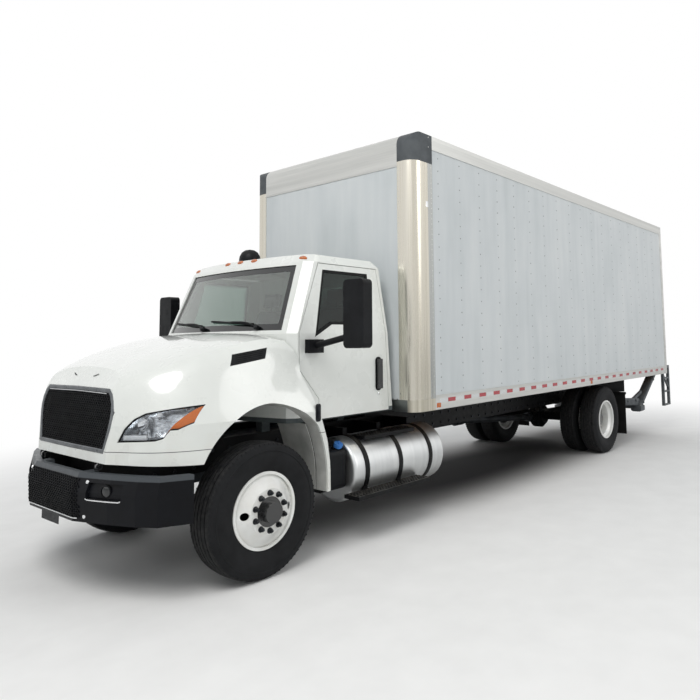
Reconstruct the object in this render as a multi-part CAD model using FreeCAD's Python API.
import FreeCAD, Part
import math
import os

# A medium-duty box truck: a conventional day cab with a tilting hood, a long dry-freight body
# with radiused front corners, twin rear wheels and a tuck-under liftgate.
# While it is modelled, X points forward from the front axle, Y points left and Z points up.
# The whole truck is shifted along X when it is written, so its origin lies under its middle.

# Overall sizes
REAR_OVERHANG = 2915
FRONT_OVERHANG = 1130
BODY_SETBACK = 1740
BODY_LENGTH = 7925
BODY_WIDTH = 2591
BODY_TOP_Z = 4015
REAR_BRACKET_REACH = 380

# Clearances
SEAT_GAP = 0.3
PANEL_GAP = 6
CUT_OVERRUN = 400

# Wheels and tyres
TYRE_DIAMETER = 1054
TYRE_WIDTH = 279
TYRE_SHOULDER_WIDTH = 214
TYRE_SHOULDER_DROP = 9
TYRE_BULGE_RADIUS = 405
TYRE_BEAD_WIDTH = 200
RIM_SEAT_DIAMETER = 571.5
RIM_FLANGE_DIAMETER = 597
RIM_WIDTH = 235
RIM_METAL = 10
RIM_WELL_DEPTH = 34
RIM_WELL_WIDTH = 90
DISC_METAL = 12
DISC_OUTSET = 168
DISC_FACE_DIAMETER = 350
STUD_CIRCLE = 285.75
STUD_HOLE_DIAMETER = 26
HUB_PILOT_DIAMETER = 220
HUB_FLANGE_METAL = 24
HUB_BARREL_LENGTH = 70
HAND_HOLE_HEIGHT = 60
HAND_HOLE_CIRCLE = 424
HAND_HOLE_COUNT = 2
FRONT_WHEEL_Y = 1045
OUTER_DUAL_Y = 1094
DUAL_SPACING = 336
FRONT_HUB_NOSE_DIAMETER = 160
FRONT_HUB_NOSE = 62
REAR_HUB_NOSE_DIAMETER = 214
REAR_HUB_NOSE = 170
GROOVE_WIDTH = 10
GROOVE_DEPTH = 14
GROOVE_PITCH = 41

# Ladder frame
RAIL_HEIGHT = 257
RAIL_FLANGE = 89
RAIL_METAL = 8
FRAME_WIDTH = 864
FRAME_TOP_Z = 1010
RAIL_FRONT_X = 960
RAIL_REAR_INSET = 185
CROSSMEMBER_HEIGHT = 150
CROSSMEMBER_DEPTH = 70
CROSSMEMBER_METAL = 7
CROSSMEMBER_DROP = 12
CROSSMEMBER_SHARES = (0.008, 0.228, 0.37, 0.505, 0.635, 0.81, 0.90, 0.985)

# Leaf springs and their hangers
SPRING_WIDTH = 76
SPRING_LEAF = 16
FRONT_SPRING_SPAN = 1400
FRONT_SPRING_CAMBER = 90
FRONT_SPRING_LEAVES = 3
REAR_SPRING_SPAN = 1480
REAR_SPRING_CAMBER = 24
REAR_SPRING_LEAVES = 5
SPRING_EYE_RADIUS = 30
HANGER_METAL = 14
HANGER_LENGTH = 110

# Axles, knuckles and steering
AXLE_BEAM_WIDTH = 92
AXLE_BEAM_HEIGHT = 96
AXLE_BEAM_DROP = 98
AXLE_BEAM_WEB = 24
AXLE_BEAM_FLANGE = 20
AXLE_END_HEIGHT = 48
KINGPIN_Y = 850
KINGPIN_RADIUS = 22
KINGPIN_BOSS_RADIUS = 46
KINGPIN_BOSS_HEIGHT = 120
AXLE_RISE_INSET = 190
KNUCKLE_EAR = 34
KNUCKLE_PLATE = 36
KNUCKLE_GAP = 6
SPINDLE_RADIUS = 38
BRAKE_PLATE_RADIUS = 200
BRAKE_PLATE_METAL = 12
STEERING_ARM_LENGTH = 190
STEERING_ARM_WIDTH = 46
STEERING_ARM_METAL = 26
TIE_ROD_RADIUS = 17
TIE_ROD_EYE_RADIUS = 26
TIE_ROD_EYE_HEIGHT = 44
REAR_HOUSING_RADIUS = 72
BANJO_RADIUS = 205
BANJO_DEPTH = 250
PINION_RADIUS = 88
PINION_LENGTH = 330
REAR_DRUM_RADIUS = 215
REAR_DRUM_WIDTH = 190
REAR_DRUM_METAL = 18

# Driveline
SHAFT_RADIUS = 52
SHAFT_JOINT_RADIUS = 74
SHAFT_JOINT_LENGTH = 90
SHAFT_FRONT_Z = 700
CENTRE_BEARING_MEMBER = 3
CENTRE_BEARING_Z = 690
BEARING_HANGER = 40
ENGINE_WIDTH = 560
ENGINE_FRONT_X = 560
ENGINE_REAR_X = -225
ENGINE_TOP_Z = 1520
ENGINE_SUMP_Z = 640
ENGINE_FOOT = 90
GEARBOX_REAR_X = -1260
GEARBOX_TOP_Z = 960
GEARBOX_WIDTH = 420
RADIATOR_X = 690
RADIATOR_DEPTH = 70
RADIATOR_WIDTH = 820
RADIATOR_TOP_Z = 1500
RADIATOR_TANK_HEIGHT = 70
RADIATOR_TANK_OUT = 14

# Cab shell: half widths and places at the floor, the belt, the roof edge and the roof
CAB_WALL = 55
CAB_FLOOR_Z = 1144
CAB_BELT_Z = 1913
CAB_EAVE_Z = 2575
CAB_ROOF_Z = 2690
CAB_BELT_HALF = 1030
CAB_EAVE_HALF = 957
CAB_SCUTTLE_X = -370
CAB_BROW_X = -625
CAB_SCUTTLE_BOW = 120
CAB_BROW_BOW = 90
CAB_BACK_FLOOR_X = -1716
CAB_BACK_BELT_X = -1655
CAB_BACK_EAVE_X = -1602
CAB_CORNER = 70
CAB_BACK_CORNER = 30
CAB_PILLAR_INSET = 40
ROOF_EDGE_INSET = 60
ROOF_CROWN_INSET = 260
ROOF_SHOULDER_Z = 2650
CAB_FLOOR_METAL = 40
TUNNEL_WIDTH = 520
TUNNEL_TOP_Z = 1230
CAB_MOUNT_SIZE = 90
CAB_MOUNT_SHARES = (0.12, 0.92)
WINDSHIELD_MARGIN = 62
GLASS_METAL = 6
GLASS_INSET = 12
BACK_WINDOW_WIDTH = 900
BACK_WINDOW_LOW_Z = 1990
BACK_WINDOW_TOP_Z = 2420

# Doors and their windows, as places along X and Z on the side of the cab
DOOR_FRONT_X = -460
DOOR_FOOT_FRONT_X = -690
DOOR_FOOT_REAR_X = -1630
DOOR_REAR_X = -1590
DOOR_TOP_REAR_X = -1525
DOOR_FOOT_Z = 1152
DOOR_NECK_LOW_Z = 1330
DOOR_NECK_TOP_Z = 1600
DOOR_TOP_Z = 2560
DOOR_TOP_FRONT_X = -745
WINDOW_FRONT_LOW_X = -640
WINDOW_FRONT_LOW_Z = 1880
WINDOW_FRONT_TOP_X = -790
WINDOW_TOP_Z = 2505
WINDOW_REAR_X = -1395
WINDOW_SILL_BREAK_X = -860
WINDOW_SILL_Z = 1995
HANDLE_X = -1480
HANDLE_LOW_Z = 1370
HANDLE_HEIGHT = 290
HANDLE_WIDTH = 62
HANDLE_OUT = 34

# Mirrors
MIRROR_Y = 1500
MIRROR_WIDTH = 240
MIRROR_DEPTH = 110
MIRROR_X = -700
MIRROR_LOW_Z = 1780
MIRROR_HEIGHT = 590
MIRROR_CORNER = 42
MIRROR_ARM_Z = 1800
MIRROR_ARM_RADIUS = 28
MIRROR_FOOT_LENGTH = 170
MIRROR_FOOT_HEIGHT = 120
MIRROR_FOOT_OUT = 60
MIRROR_FOOT_BACK = 62

# Cab furniture
SEAT_X = -1130
SEAT_Y = 520
SEAT_WIDTH = 500
SEAT_DEPTH = 480
SEAT_CUSHION = 130
SEAT_BASE_HEIGHT = 330
SEAT_BACK_HEIGHT = 760
SEAT_BACK_METAL = 120
SEAT_BACK_LEAN = 90
SEAT_CORNER = 40
DASH_REAR_X = -800
DASH_TOP_Z = 1880
DASH_LOW_Z = 1560
DASH_HALF = 900
STEERING_WHEEL_RADIUS = 225
STEERING_WHEEL_RIM = 16
STEERING_WHEEL_X = -905
STEERING_WHEEL_Z = 1860
STEERING_COLUMN_TILT = 40
STEERING_COLUMN_RADIUS = 30
STEERING_HUB_RADIUS = 70

# Hood, its wheel arches and its hinge line
HOOD_WALL = 22
HOOD_FRONT_X = 992
HOOD_TAIL_X = -700
HOOD_HALF = 1180
HOOD_TOP_Z = 1945
HOOD_WAIST_Z = 1250
HOOD_BASE_Z = 540
HOOD_STATION_SHARES = (
    (0, 1, 1), (0.30, 1, 0.992), (0.47, 0.996, 0.977), (0.62, 0.975, 0.947), (0.74, 0.93, 0.915),
    (0.84, 0.85, 0.883), (0.92, 0.72, 0.853), (1, 0.50, 0.82))
HOOD_TAIL_SECTION_SHARES = ((0, 0), (0.36, 0.004), (0.66, 0.02), (0.81, 0.055), (0.865, 0.22),
                            (0.89, 0.5), (0.95, 0.78), (1, 1))
HOOD_NOSE_SECTION_SHARES = ((0, 0), (0.34, 0.02), (0.6, 0.08), (0.76, 0.17), (0.85, 0.32), (0.92, 0.5),
                            (0.97, 0.75), (1, 1))
HOOD_SHOULDER = 3
NOSE_BROW_X = 942
NOSE_LEAN = 170
HOOD_REAR_X = -435
COWL_GAP = 14
HOOD_FOOT_Z = 975
ARCH_FRONT_FOOT_Z = 957
ARCH_X = -60
ARCH_Z = 734
ARCH_RADIUS = 618
ARCH_OUTLINE_SHARES = ((-0.94, -0.023), (-0.893, 0.277), (-0.749, 0.641), (-0.513, 0.835), (0, 1),
                       (0.707, 0.707), (1, 0))
SKIRT_REAR_X = -681
SKIRT_FOOT_Z = 552
SKIRT_TOP_Z = 1584
SKIRT_EDGE_SHARES = ((1, 0), (0.992, 0.163), (0.964, 0.253), (0.896, 0.337), (0.833, 0.422),
                     (0.693, 0.510), (0.558, 0.596),
                     (0.371, 0.682), (0.267, 0.798), (0.135, 0.902), (0, 1))
HOOD_PIVOT_X = 985
HOOD_PIVOT_Z = 945
HOOD_PIVOT_Y = 480
HOOD_PIN_RADIUS = 12
HOOD_LUG_METAL = 18
HOOD_LUG_RADIUS = 26
LINER_METAL = 5
LINER_INNER_Y = 640
SHIELD_FRONT_X = -290
SHIELD_TOP_Z = 1130
SHIELD_ARM_Z = 760
SHIELD_ARM = 40
GRILLE_TOP_HALF = 535
GRILLE_WIDE_HALF = 635
GRILLE_FOOT_HALF = 555
GRILLE_TOP_Z = 1510
GRILLE_WIDE_Z = 1345
GRILLE_FOOT_Z = 1052
GRILLE_DEPTH = 46
GRILLE_FRAME = 26
GRILLE_ROWS = 7
GRILLE_BAR = 16
GRILLE_POST = 14
GRILLE_COLUMNS = 9
LAMP_DEPTH = 90
LAMP_WIDTH = 414
LAMP_HEIGHT = 257
LAMP_INNER_Y = 667
LAMP_FOOT_Z = 1131
LAMP_OUTLINE_SHARES = ((0, 0), (0.121, 0.377), (0.28, 0.654), (0.452, 0.817), (0.797, 0.938), (0.99, 1),
                       (1, 0.502), (0.879, 0.339), (0.804, 0.331), (0.729, 0.109), (0.63, 0.047))
VENT_REAR_X = -140
VENT_FRONT_X = 240
VENT_HEIGHT = 90
VENT_REAR_Z = 1797
VENT_FALL = 50

# Bumper
BUMPER_TOP_Z = 912
BUMPER_WAIST_Z = 780
BUMPER_FOOT_Z = 572
BUMPER_TOP_BACKSET = 50
BUMPER_FOOT_BACKSET = 10
BUMPER_HALF = 1165
BUMPER_END_BACK = 450
BUMPER_PLAN_SHARES = ((0, 0.33), (0.10, 0.45), (0.21, 0.595), (0.39, 0.785), (0.56, 0.91), (1, 1))
BUMPER_WALL = 40
BUMPER_BRACKET_HEIGHT = 130
FOG_RECESS_WIDTH = 300
FOG_RECESS_HEIGHT = 110
FOG_RECESS_Y = 655
FOG_RECESS_Z = 795
FOG_RECESS_DEPTH = 20
TOW_EYE_RADIUS = 22
TOW_EYE_METAL = 20
TOW_EYE_WIDTH = 90
TOW_EYE_X = 900
TOW_EYE_Z = 705
PLATE_WIDTH = 300
PLATE_HEIGHT = 90
PLATE_METAL = 4
PLATE_DROP = 62
PLATE_HOLE_SPACING = 177.8
PLATE_HOLE_RADIUS = 4

# Fuel tank, its straps and steps
TANK_RADIUS = 305
TANK_FRONT_X = -1080
TANK_LENGTH = 1400
TANK_Y = 790
TANK_Z = 620
TANK_HEAD_ROUND = 40
STRAP_WIDTH = 56
STRAP_METAL = 6
STRAP_PLACE_SHARES = (0.12, 0.47, 0.82)
STRAP_BRACKET_HEIGHT = 240
STEP_LENGTH = 1050
STEP_FRONT_X = -990
STEP_WIDTH = 190
STEP_METAL = 34
LOW_STEP_Y = 1065
LOW_STEP_Z = 440
HIGH_STEP_Y = 930
HIGH_STEP_LENGTH = 760
HIGH_STEP_Z = 892
STEP_HANGER = 26

# Exhaust fluid tank
FLUID_TANK_FRONT_X = -770
FLUID_TANK_LENGTH = 280
FLUID_TANK_INNER_Y = 560
FLUID_TANK_WIDTH = 440
FLUID_TANK_FOOT_Z = 480
FLUID_TANK_HEIGHT = 360
FLUID_TANK_ROUND = 50
FLUID_BRACKET_HEIGHT = 120
FLUID_CAP_RADIUS = 36
FLUID_CAP_HEIGHT = 34

# Right-hand side: exhaust can, battery box and its steps
EXHAUST_RADIUS = 150
EXHAUST_Y = -690
EXHAUST_Z = 690
EXHAUST_FRONT_X = -820
EXHAUST_LENGTH = 860
EXHAUST_PIPE_RADIUS = 50
EXHAUST_PIPE_LENGTH = 100
EXHAUST_PIPE_OFFSET = 45
EXHAUST_BRACKET_WIDTH = 50
EXHAUST_ROUND = 40
BATTERY_FRONT_X = -1760
BATTERY_LENGTH = 640
BATTERY_INNER_Y = 470
BATTERY_WIDTH = 560
BATTERY_FOOT_Z = 470
BATTERY_HEIGHT = 440
BATTERY_ROUND = 24
RIGHT_STEP_FRONT_X = -800

# Mud flaps
FLAP_SETBACK = 790
FLAP_WIDTH = 610
FLAP_METAL = 9
FLAP_FOOT_Z = 200
FLAP_TOP_Z = 900
FLAP_ARM = 40

# Cargo body
BODY_BASE_Z = 1118
BODY_WALL = 50
CORNER_RADIUS = 130
CORNER_SIDE_FLANGE = 330
CORNER_FRONT_FLANGE = 215
TOP_RAIL_HEIGHT = 150
BASE_RAIL_HEIGHT = 150
FRONT_RAIL_HEIGHT = 360
FRONT_SILL_HEIGHT = 120
CAP_HEIGHT = 310
PANEL_RECESS = 6
SILL_WIDTH = 70
BODY_CROSSMEMBER_HEIGHT = 102
BODY_CROSSMEMBER_WIDTH = 44
BODY_CROSSMEMBER_METAL = 5
BODY_CROSSMEMBER_PITCH = 406
BODY_FLOOR_METAL = 35
ROOF_SHEET = 8
ROOF_BOW_WIDTH = 40
ROOF_BOW_HEIGHT = 30
ROOF_BOW_PITCH = 800
REAR_FRAME_DEPTH = 100
REAR_POST_WIDTH = 100
REAR_HEADER_HEIGHT = 250
ROLL_DOOR_METAL = 26
ROLL_DOOR_PANELS = 7
ROLL_DOOR_INSET = 30
ROLL_DOOR_GAP = 0.6

# Liftgate and the step brackets at the rear corners
LIFT_PIVOT_AHEAD = 1235
LIFT_PIVOT_Z = 693
LIFT_BEAM_AHEAD = 150
LIFT_BEAM_HALF = 800
LIFT_TORSION_SHARE = 0.15
LIFT_KNEE_AHEAD = 335
LIFT_KNEE_Z = 500
LIFT_ARM_Y = 700
LIFT_ARM_WIDTH = 60
LIFT_ARM_HEIGHT = 90
LIFT_PIN_RADIUS = 22
LIFT_BEAM_SIZE = 120
LIFT_LUG_METAL = 16
LIFT_SIDE_GAP = 6
LIFT_TORSION_RADIUS = 45
PLATFORM_LENGTH = 760
PLATFORM_WIDTH = 1240
PLATFORM_METAL = 45
PLATFORM_FOLD_GAP = 12
REAR_BRACKET_Y = 1195
REAR_BRACKET_METAL = 50
REAR_BRACKET_TOP_Z = 1262
REAR_BRACKET_FOOT_Z = 480
REAR_STEP_WIDTH = 260
REAR_STEP_RUNG = 30

# Lamps
MARKER_LENGTH = 100
MARKER_WIDTH = 44
MARKER_HEIGHT = 26
SIDE_MARKER_SIZE = 60
SIDE_MARKER_METAL = 14
SIDE_MARKER_SHARES = (0.03, 0.52)
MARKER_CLUSTER_PITCH = 215
MARKER_END_Y = 850
TAIL_LAMP_SIZE = 110
TAIL_LAMP_METAL = 18

# Driving places worked out from the sizes above
AXLE_Z = TYRE_DIAMETER / 2
RAIL_OUTER_Y = FRAME_WIDTH / 2
RAIL_MIDDLE_Y = RAIL_OUTER_Y - RAIL_FLANGE / 2
FRAME_FOOT_Z = FRAME_TOP_Z - RAIL_HEIGHT
BODY_FRONT_X = -BODY_SETBACK
BODY_REAR_X = BODY_FRONT_X - BODY_LENGTH
REAR_AXLE_X = BODY_REAR_X + REAR_OVERHANG
RAIL_REAR_X = BODY_REAR_X + RAIL_REAR_INSET
LIFT_PIVOT_X = BODY_REAR_X + LIFT_PIVOT_AHEAD
LIFT_KNEE_X = BODY_REAR_X + LIFT_KNEE_AHEAD
BODY_HALF = BODY_WIDTH / 2
PANEL_FRONT_X = BODY_FRONT_X - CORNER_SIDE_FLANGE
REAR_FRAME_X = BODY_REAR_X + REAR_FRAME_DEPTH
BODY_INNER_Y = BODY_HALF - BODY_WALL
BODY_FLOOR_Z = BODY_BASE_Z + BODY_CROSSMEMBER_HEIGHT + BODY_FLOOR_METAL
REAR_END_X = BODY_REAR_X - REAR_BRACKET_REACH
TRUCK_MIDDLE_X = (FRONT_OVERHANG + REAR_END_X) / 2

X_AXIS = FreeCAD.Vector(1, 0, 0)
Y_AXIS = FreeCAD.Vector(0, 1, 0)
Z_AXIS = FreeCAD.Vector(0, 0, 1)
ORIGIN = FreeCAD.Vector(0, 0, 0)


def point(x, y, z):
    return FreeCAD.Vector(x, y, z)


def block(x, y, z):
    """A box between the two values given for each direction."""
    low = point(min(x), min(y), min(z))
    return Part.makeBox(max(x) - min(x), max(y) - min(y), max(z) - min(z), low)


def rod(radius, start, end):
    """A round bar between two points."""
    return Part.makeCylinder(radius, (end - start).Length, start, end - start)


def outline(points):
    """A closed outline through the points, where a triple of points in a list is an arc."""
    edges = []
    last = points[0]
    for item in points[1:] + [points[0]]:
        if isinstance(item, tuple):
            edges.append(Part.Arc(last, item[0], item[1]).toShape())
            last = item[1]
        elif (item - last).Length > SEAT_GAP / CUT_OVERRUN:
            edges.append(Part.LineSegment(last, item).toShape())
            last = item
    return Part.Wire(edges)


def side_prism(places, y):
    """A side-view outline of (x, z) places, carried across from one y to the other."""
    wire = outline([point(x, min(y), z) for x, z in places])
    return Part.Face(wire).extrude(point(0, max(y) - min(y), 0))


def front_prism(places, x):
    """A front-view outline of (y, z) places, carried along X."""
    wire = outline([point(min(x), y, z) for y, z in places])
    return Part.Face(wire).extrude(point(max(x) - min(x), 0, 0))


def turned(places, x, z):
    """A ring or disc: an outline of (y, radius) places turned about an axle through x and z."""
    wire = outline([point(x, y, z + radius) for y, radius in places])
    return Part.Face(wire).revolve(point(x, 0, z), Y_AXIS, 360)


def joined(shapes):
    whole = shapes[0].multiFuse(shapes[1:]) if len(shapes) > 1 else shapes[0]
    return whole.removeSplitter()


def together(shapes):
    return Part.makeCompound(shapes)


def mirrored(shape):
    return shape.mirror(ORIGIN, Y_AXIS)


def on_side(shape, side):
    """The left-hand shape as it is, or its mirror image for the right-hand side."""
    return shape if side > 0 else mirrored(shape)


def pair(shape):
    return [shape, mirrored(shape)]


def grooves(centre_y):
    """The four straight grooves round a tread."""
    top = TYRE_DIAMETER / 2
    cuts = []
    for place in (-3, -1, 1, 3):
        middle = centre_y + place * GROOVE_PITCH / 2
        low, high = middle - GROOVE_WIDTH / 2, middle + GROOVE_WIDTH / 2
        floor = top - GROOVE_DEPTH
        cuts.append([(low, floor), (high, floor), (high, top + GROOVE_DEPTH), (low, top + GROOVE_DEPTH)])
    return cuts


def tyre(x, centre_y):
    """A radial truck tyre: straight beads, bulging sides and a slightly crowned, grooved tread."""
    z = AXLE_Z
    bead_y, side_y, tread_y = TYRE_BEAD_WIDTH / 2, TYRE_WIDTH / 2, TYRE_SHOULDER_WIDTH / 2
    seat = RIM_SEAT_DIAMETER / 2 + SEAT_GAP
    toe = RIM_FLANGE_DIAMETER / 2 + SEAT_GAP
    crown = TYRE_DIAMETER / 2
    shoulder = crown - TYRE_SHOULDER_DROP

    def at(y, radius):
        return point(x, centre_y + y, z + radius)

    wire = outline([
        at(-bead_y, seat), at(bead_y, seat), at(bead_y, toe),
        (at(side_y, TYRE_BULGE_RADIUS), at(tread_y, shoulder)),
        (at(0, crown), at(-tread_y, shoulder)),
        (at(-side_y, TYRE_BULGE_RADIUS), at(-bead_y, toe))])
    body = Part.Face(wire).revolve(point(x, 0, z), Y_AXIS, 360)
    for cut in grooves(centre_y):
        body = body.cut(turned(cut, x, z))
    return body


def disc_wheel(x, centre_y, facing):
    """A steel disc wheel: a drop-centre barrel with a dished disc; facing is 1 for a disc that bulges
    left."""
    half, metal = RIM_WIDTH / 2, RIM_METAL
    seat, flange = RIM_SEAT_DIAMETER / 2, RIM_FLANGE_DIAMETER / 2
    well, well_half = seat - RIM_WELL_DEPTH, RIM_WELL_WIDTH / 2
    slope = well_half + RIM_WELL_DEPTH
    outside = [(-half, flange), (-half + metal, flange), (-half + metal, seat), (-slope, seat),
               (-well_half, well), (well_half, well), (slope, seat), (half - metal, seat),
               (half - metal, flange), (half, flange)]
    inside = [(half, seat - metal), (slope, seat - metal), (well_half, well - metal),
              (-well_half, well - metal), (-slope, seat - metal), (-half, seat - metal)]
    face, pilot = DISC_FACE_DIAMETER / 2, HUB_PILOT_DIAMETER / 2
    root = seat - metal / 2
    dish = [(slope, root), (DISC_OUTSET - DISC_METAL, face), (DISC_OUTSET - DISC_METAL, pilot),
            (DISC_OUTSET, pilot), (DISC_OUTSET, face), (slope + DISC_METAL, root)]

    def placed(places):
        return [(centre_y + facing * y, radius) for y, radius in places]

    barrel = turned(placed(outside + inside), x, AXLE_Z)
    disc = turned(placed(dish), x, AXLE_Z)
    for number in range(HAND_HOLE_COUNT):
        angle = 2 * math.pi * number / HAND_HOLE_COUNT
        away = HAND_HOLE_CIRCLE / 2
        middle = point(x + away * math.cos(angle), centre_y, AXLE_Z + away * math.sin(angle))
        through = rod(HAND_HOLE_HEIGHT / 2, middle, middle + Y_AXIS * (facing * CUT_OVERRUN))
        disc = disc.cut(through)
    return joined([barrel, disc])


def front_hub():
    """The left front hub: bored for its spindle, with a flange behind the disc and a closed nose."""
    face = FRONT_WHEEL_Y + DISC_OUTSET - DISC_METAL
    flange = STUD_CIRCLE / 2 + STUD_HOLE_DIAMETER
    pilot = HUB_PILOT_DIAMETER / 2 - SEAT_GAP
    nose = FRONT_HUB_NOSE_DIAMETER / 2
    bore = SPINDLE_RADIUS + SEAT_GAP
    inner = face - HUB_FLANGE_METAL
    tip = face + DISC_METAL + FRONT_HUB_NOSE
    barrel_y = inner - HUB_BARREL_LENGTH
    places = [(barrel_y, bore), (barrel_y, nose), (inner, nose), (inner, flange), (face, flange),
              (face, pilot), (face + DISC_METAL, pilot), (face + DISC_METAL, nose), (tip, nose), (tip, 0),
              (face, 0), (face, bore)]
    return turned(places, 0, AXLE_Z)


def rear_hub():
    """The left rear hub with its brake drum, and the long axle nose that stands out through the duals."""
    face = OUTER_DUAL_Y - DISC_OUTSET - DISC_METAL
    flange = STUD_CIRCLE / 2 + STUD_HOLE_DIAMETER
    pilot = HUB_PILOT_DIAMETER / 2 - SEAT_GAP
    nose = REAR_HUB_NOSE_DIAMETER / 2
    bore = REAR_HOUSING_RADIUS + SEAT_GAP
    inner = face - HUB_FLANGE_METAL
    drum_y = inner - REAR_DRUM_WIDTH
    drum_bore = REAR_DRUM_RADIUS - REAR_DRUM_METAL
    pilot_end = face + 2 * DISC_METAL
    places = [(drum_y, drum_bore), (drum_y, REAR_DRUM_RADIUS), (inner, REAR_DRUM_RADIUS), (inner, flange),
              (face, flange), (face, pilot), (pilot_end, pilot), (pilot_end, nose),
              (pilot_end + REAR_HUB_NOSE, nose), (pilot_end + REAR_HUB_NOSE, 0), (pilot_end, 0),
              (pilot_end, bore), (inner - REAR_DRUM_METAL, bore), (inner - REAR_DRUM_METAL, drum_bore)]
    return turned(places, REAR_AXLE_X, AXLE_Z)


def channel(places_y, places_z):
    """A rail's C section as (y, z) places: web at the first y, flanges reaching to the second."""
    web, lip = places_y
    low, high = places_z
    turn = RAIL_METAL if lip < web else -RAIL_METAL
    return [(web, low), (web, high), (lip, high), (lip, high - RAIL_METAL), (web - turn, high - RAIL_METAL),
            (web - turn, low + RAIL_METAL), (lip, low + RAIL_METAL), (lip, low)]


def crossmember(middle_x):
    """A channel between the rails' webs, open downwards."""
    half = CROSSMEMBER_DEPTH / 2
    high = FRAME_TOP_Z - RAIL_METAL - CROSSMEMBER_DROP
    low = high - CROSSMEMBER_HEIGHT
    metal = CROSSMEMBER_METAL
    places = [(middle_x - half, low), (middle_x - half, high), (middle_x + half, high),
              (middle_x + half, low),
              (middle_x + half - metal, low), (middle_x + half - metal, high - metal),
              (middle_x - half + metal, high - metal), (middle_x - half + metal, low)]
    reach = RAIL_OUTER_Y - RAIL_METAL
    return side_prism(places, (-reach, reach))


def spring_hangers(axle_x, span, eye_z):
    """The ears each side of both spring eyes, hung under the left rail."""
    ears = []
    half = SPRING_WIDTH / 2 + SEAT_GAP
    for end in (-1, 1):
        eye_x = axle_x + end * span / 2
        places = [(eye_x - HANGER_LENGTH / 2, FRAME_FOOT_Z), (eye_x + HANGER_LENGTH / 2, FRAME_FOOT_Z),
                  (eye_x + SPRING_EYE_RADIUS, eye_z - SPRING_EYE_RADIUS),
                  (eye_x - SPRING_EYE_RADIUS, eye_z - SPRING_EYE_RADIUS)]
        for side in (-1, 1):
            inner = RAIL_MIDDLE_Y + side * half
            ears.append(side_prism(places, (inner, inner + side * HANGER_METAL)))
    return ears


def hood_bracket():
    """The plate on the outside of the left rail's front end, with the pin that the hood tilts on."""
    low = HOOD_PIVOT_Z - HOOD_LUG_RADIUS
    high = HOOD_PIVOT_Z + HOOD_LUG_RADIUS / 2
    back = RAIL_FRONT_X - 3 * HOOD_LUG_RADIUS
    front = HOOD_PIVOT_X + HOOD_LUG_RADIUS / 2
    plate = side_prism([(back, low), (front, low), (front, high), (back, high)],
                       (RAIL_OUTER_Y, RAIL_OUTER_Y + HOOD_LUG_METAL))
    pin = rod(HOOD_PIN_RADIUS, point(HOOD_PIVOT_X, RAIL_OUTER_Y, HOOD_PIVOT_Z),
              point(HOOD_PIVOT_X, HOOD_PIVOT_Y + HOOD_LUG_METAL, HOOD_PIVOT_Z))
    return joined([plate, pin])


def tow_eye():
    """The recovery eye: a bored plate under the front end of the left rail's web."""
    places = [(TOW_EYE_X - TOW_EYE_WIDTH / 2, FRAME_FOOT_Z), (TOW_EYE_X + TOW_EYE_WIDTH / 2, FRAME_FOOT_Z),
              (TOW_EYE_X + TOW_EYE_WIDTH / 2, TOW_EYE_Z), (TOW_EYE_X, TOW_EYE_Z - TOW_EYE_WIDTH / 2),
              (TOW_EYE_X - TOW_EYE_WIDTH / 2, TOW_EYE_Z)]
    plate = side_prism(places, (RAIL_OUTER_Y - TOW_EYE_METAL, RAIL_OUTER_Y))
    hole = rod(TOW_EYE_RADIUS, point(TOW_EYE_X, 0, TOW_EYE_Z), point(TOW_EYE_X, FRAME_WIDTH, TOW_EYE_Z))
    return plate.cut(hole)


def frame():
    rail = front_prism(channel((RAIL_OUTER_Y, RAIL_OUTER_Y - RAIL_FLANGE), (FRAME_FOOT_Z, FRAME_TOP_Z)),
                       (RAIL_REAR_X, RAIL_FRONT_X))
    left = [rail, hood_bracket(), tow_eye()]
    left += spring_hangers(0, FRONT_SPRING_SPAN, front_spring_eye_z())
    left += spring_hangers(REAR_AXLE_X, REAR_SPRING_SPAN, rear_spring_eye_z())
    pieces = []
    for piece in left:
        pieces += pair(piece)
    for number in range(len(CROSSMEMBER_SHARES)):
        pieces.append(crossmember(crossmember_x(number)))
    return joined(pieces)


def crossmember_x(number):
    span = RAIL_FRONT_X - RAIL_REAR_X - 2 * CROSSMEMBER_DEPTH
    return RAIL_FRONT_X - CROSSMEMBER_DEPTH - CROSSMEMBER_SHARES[number] * span


def front_spring_foot_z():
    return AXLE_Z - AXLE_BEAM_DROP + AXLE_BEAM_HEIGHT / 2 + SEAT_GAP


def front_spring_eye_z():
    return front_spring_foot_z() + FRONT_SPRING_LEAVES * SPRING_LEAF + FRONT_SPRING_CAMBER


def rear_spring_foot_z():
    return AXLE_Z + REAR_HOUSING_RADIUS + SEAT_GAP


def rear_spring_eye_z():
    return rear_spring_foot_z() + REAR_SPRING_LEAVES * SPRING_LEAF + REAR_SPRING_CAMBER


def leaf(axle_x, foot_z, half, camber, span):
    """One bowed leaf of the given half length, lying on the arc of the whole spring."""
    rise = camber * (half / (span / 2)) ** 2
    y = RAIL_MIDDLE_Y - SPRING_WIDTH / 2

    def at(x, z):
        return point(axle_x + x, y, foot_z + z)

    wire = outline([at(-half, rise), (at(0, 0), at(half, rise)), at(half, rise + SPRING_LEAF),
                    (at(0, SPRING_LEAF), at(-half, rise + SPRING_LEAF))])
    return Part.Face(wire).extrude(Y_AXIS * SPRING_WIDTH)


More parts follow.
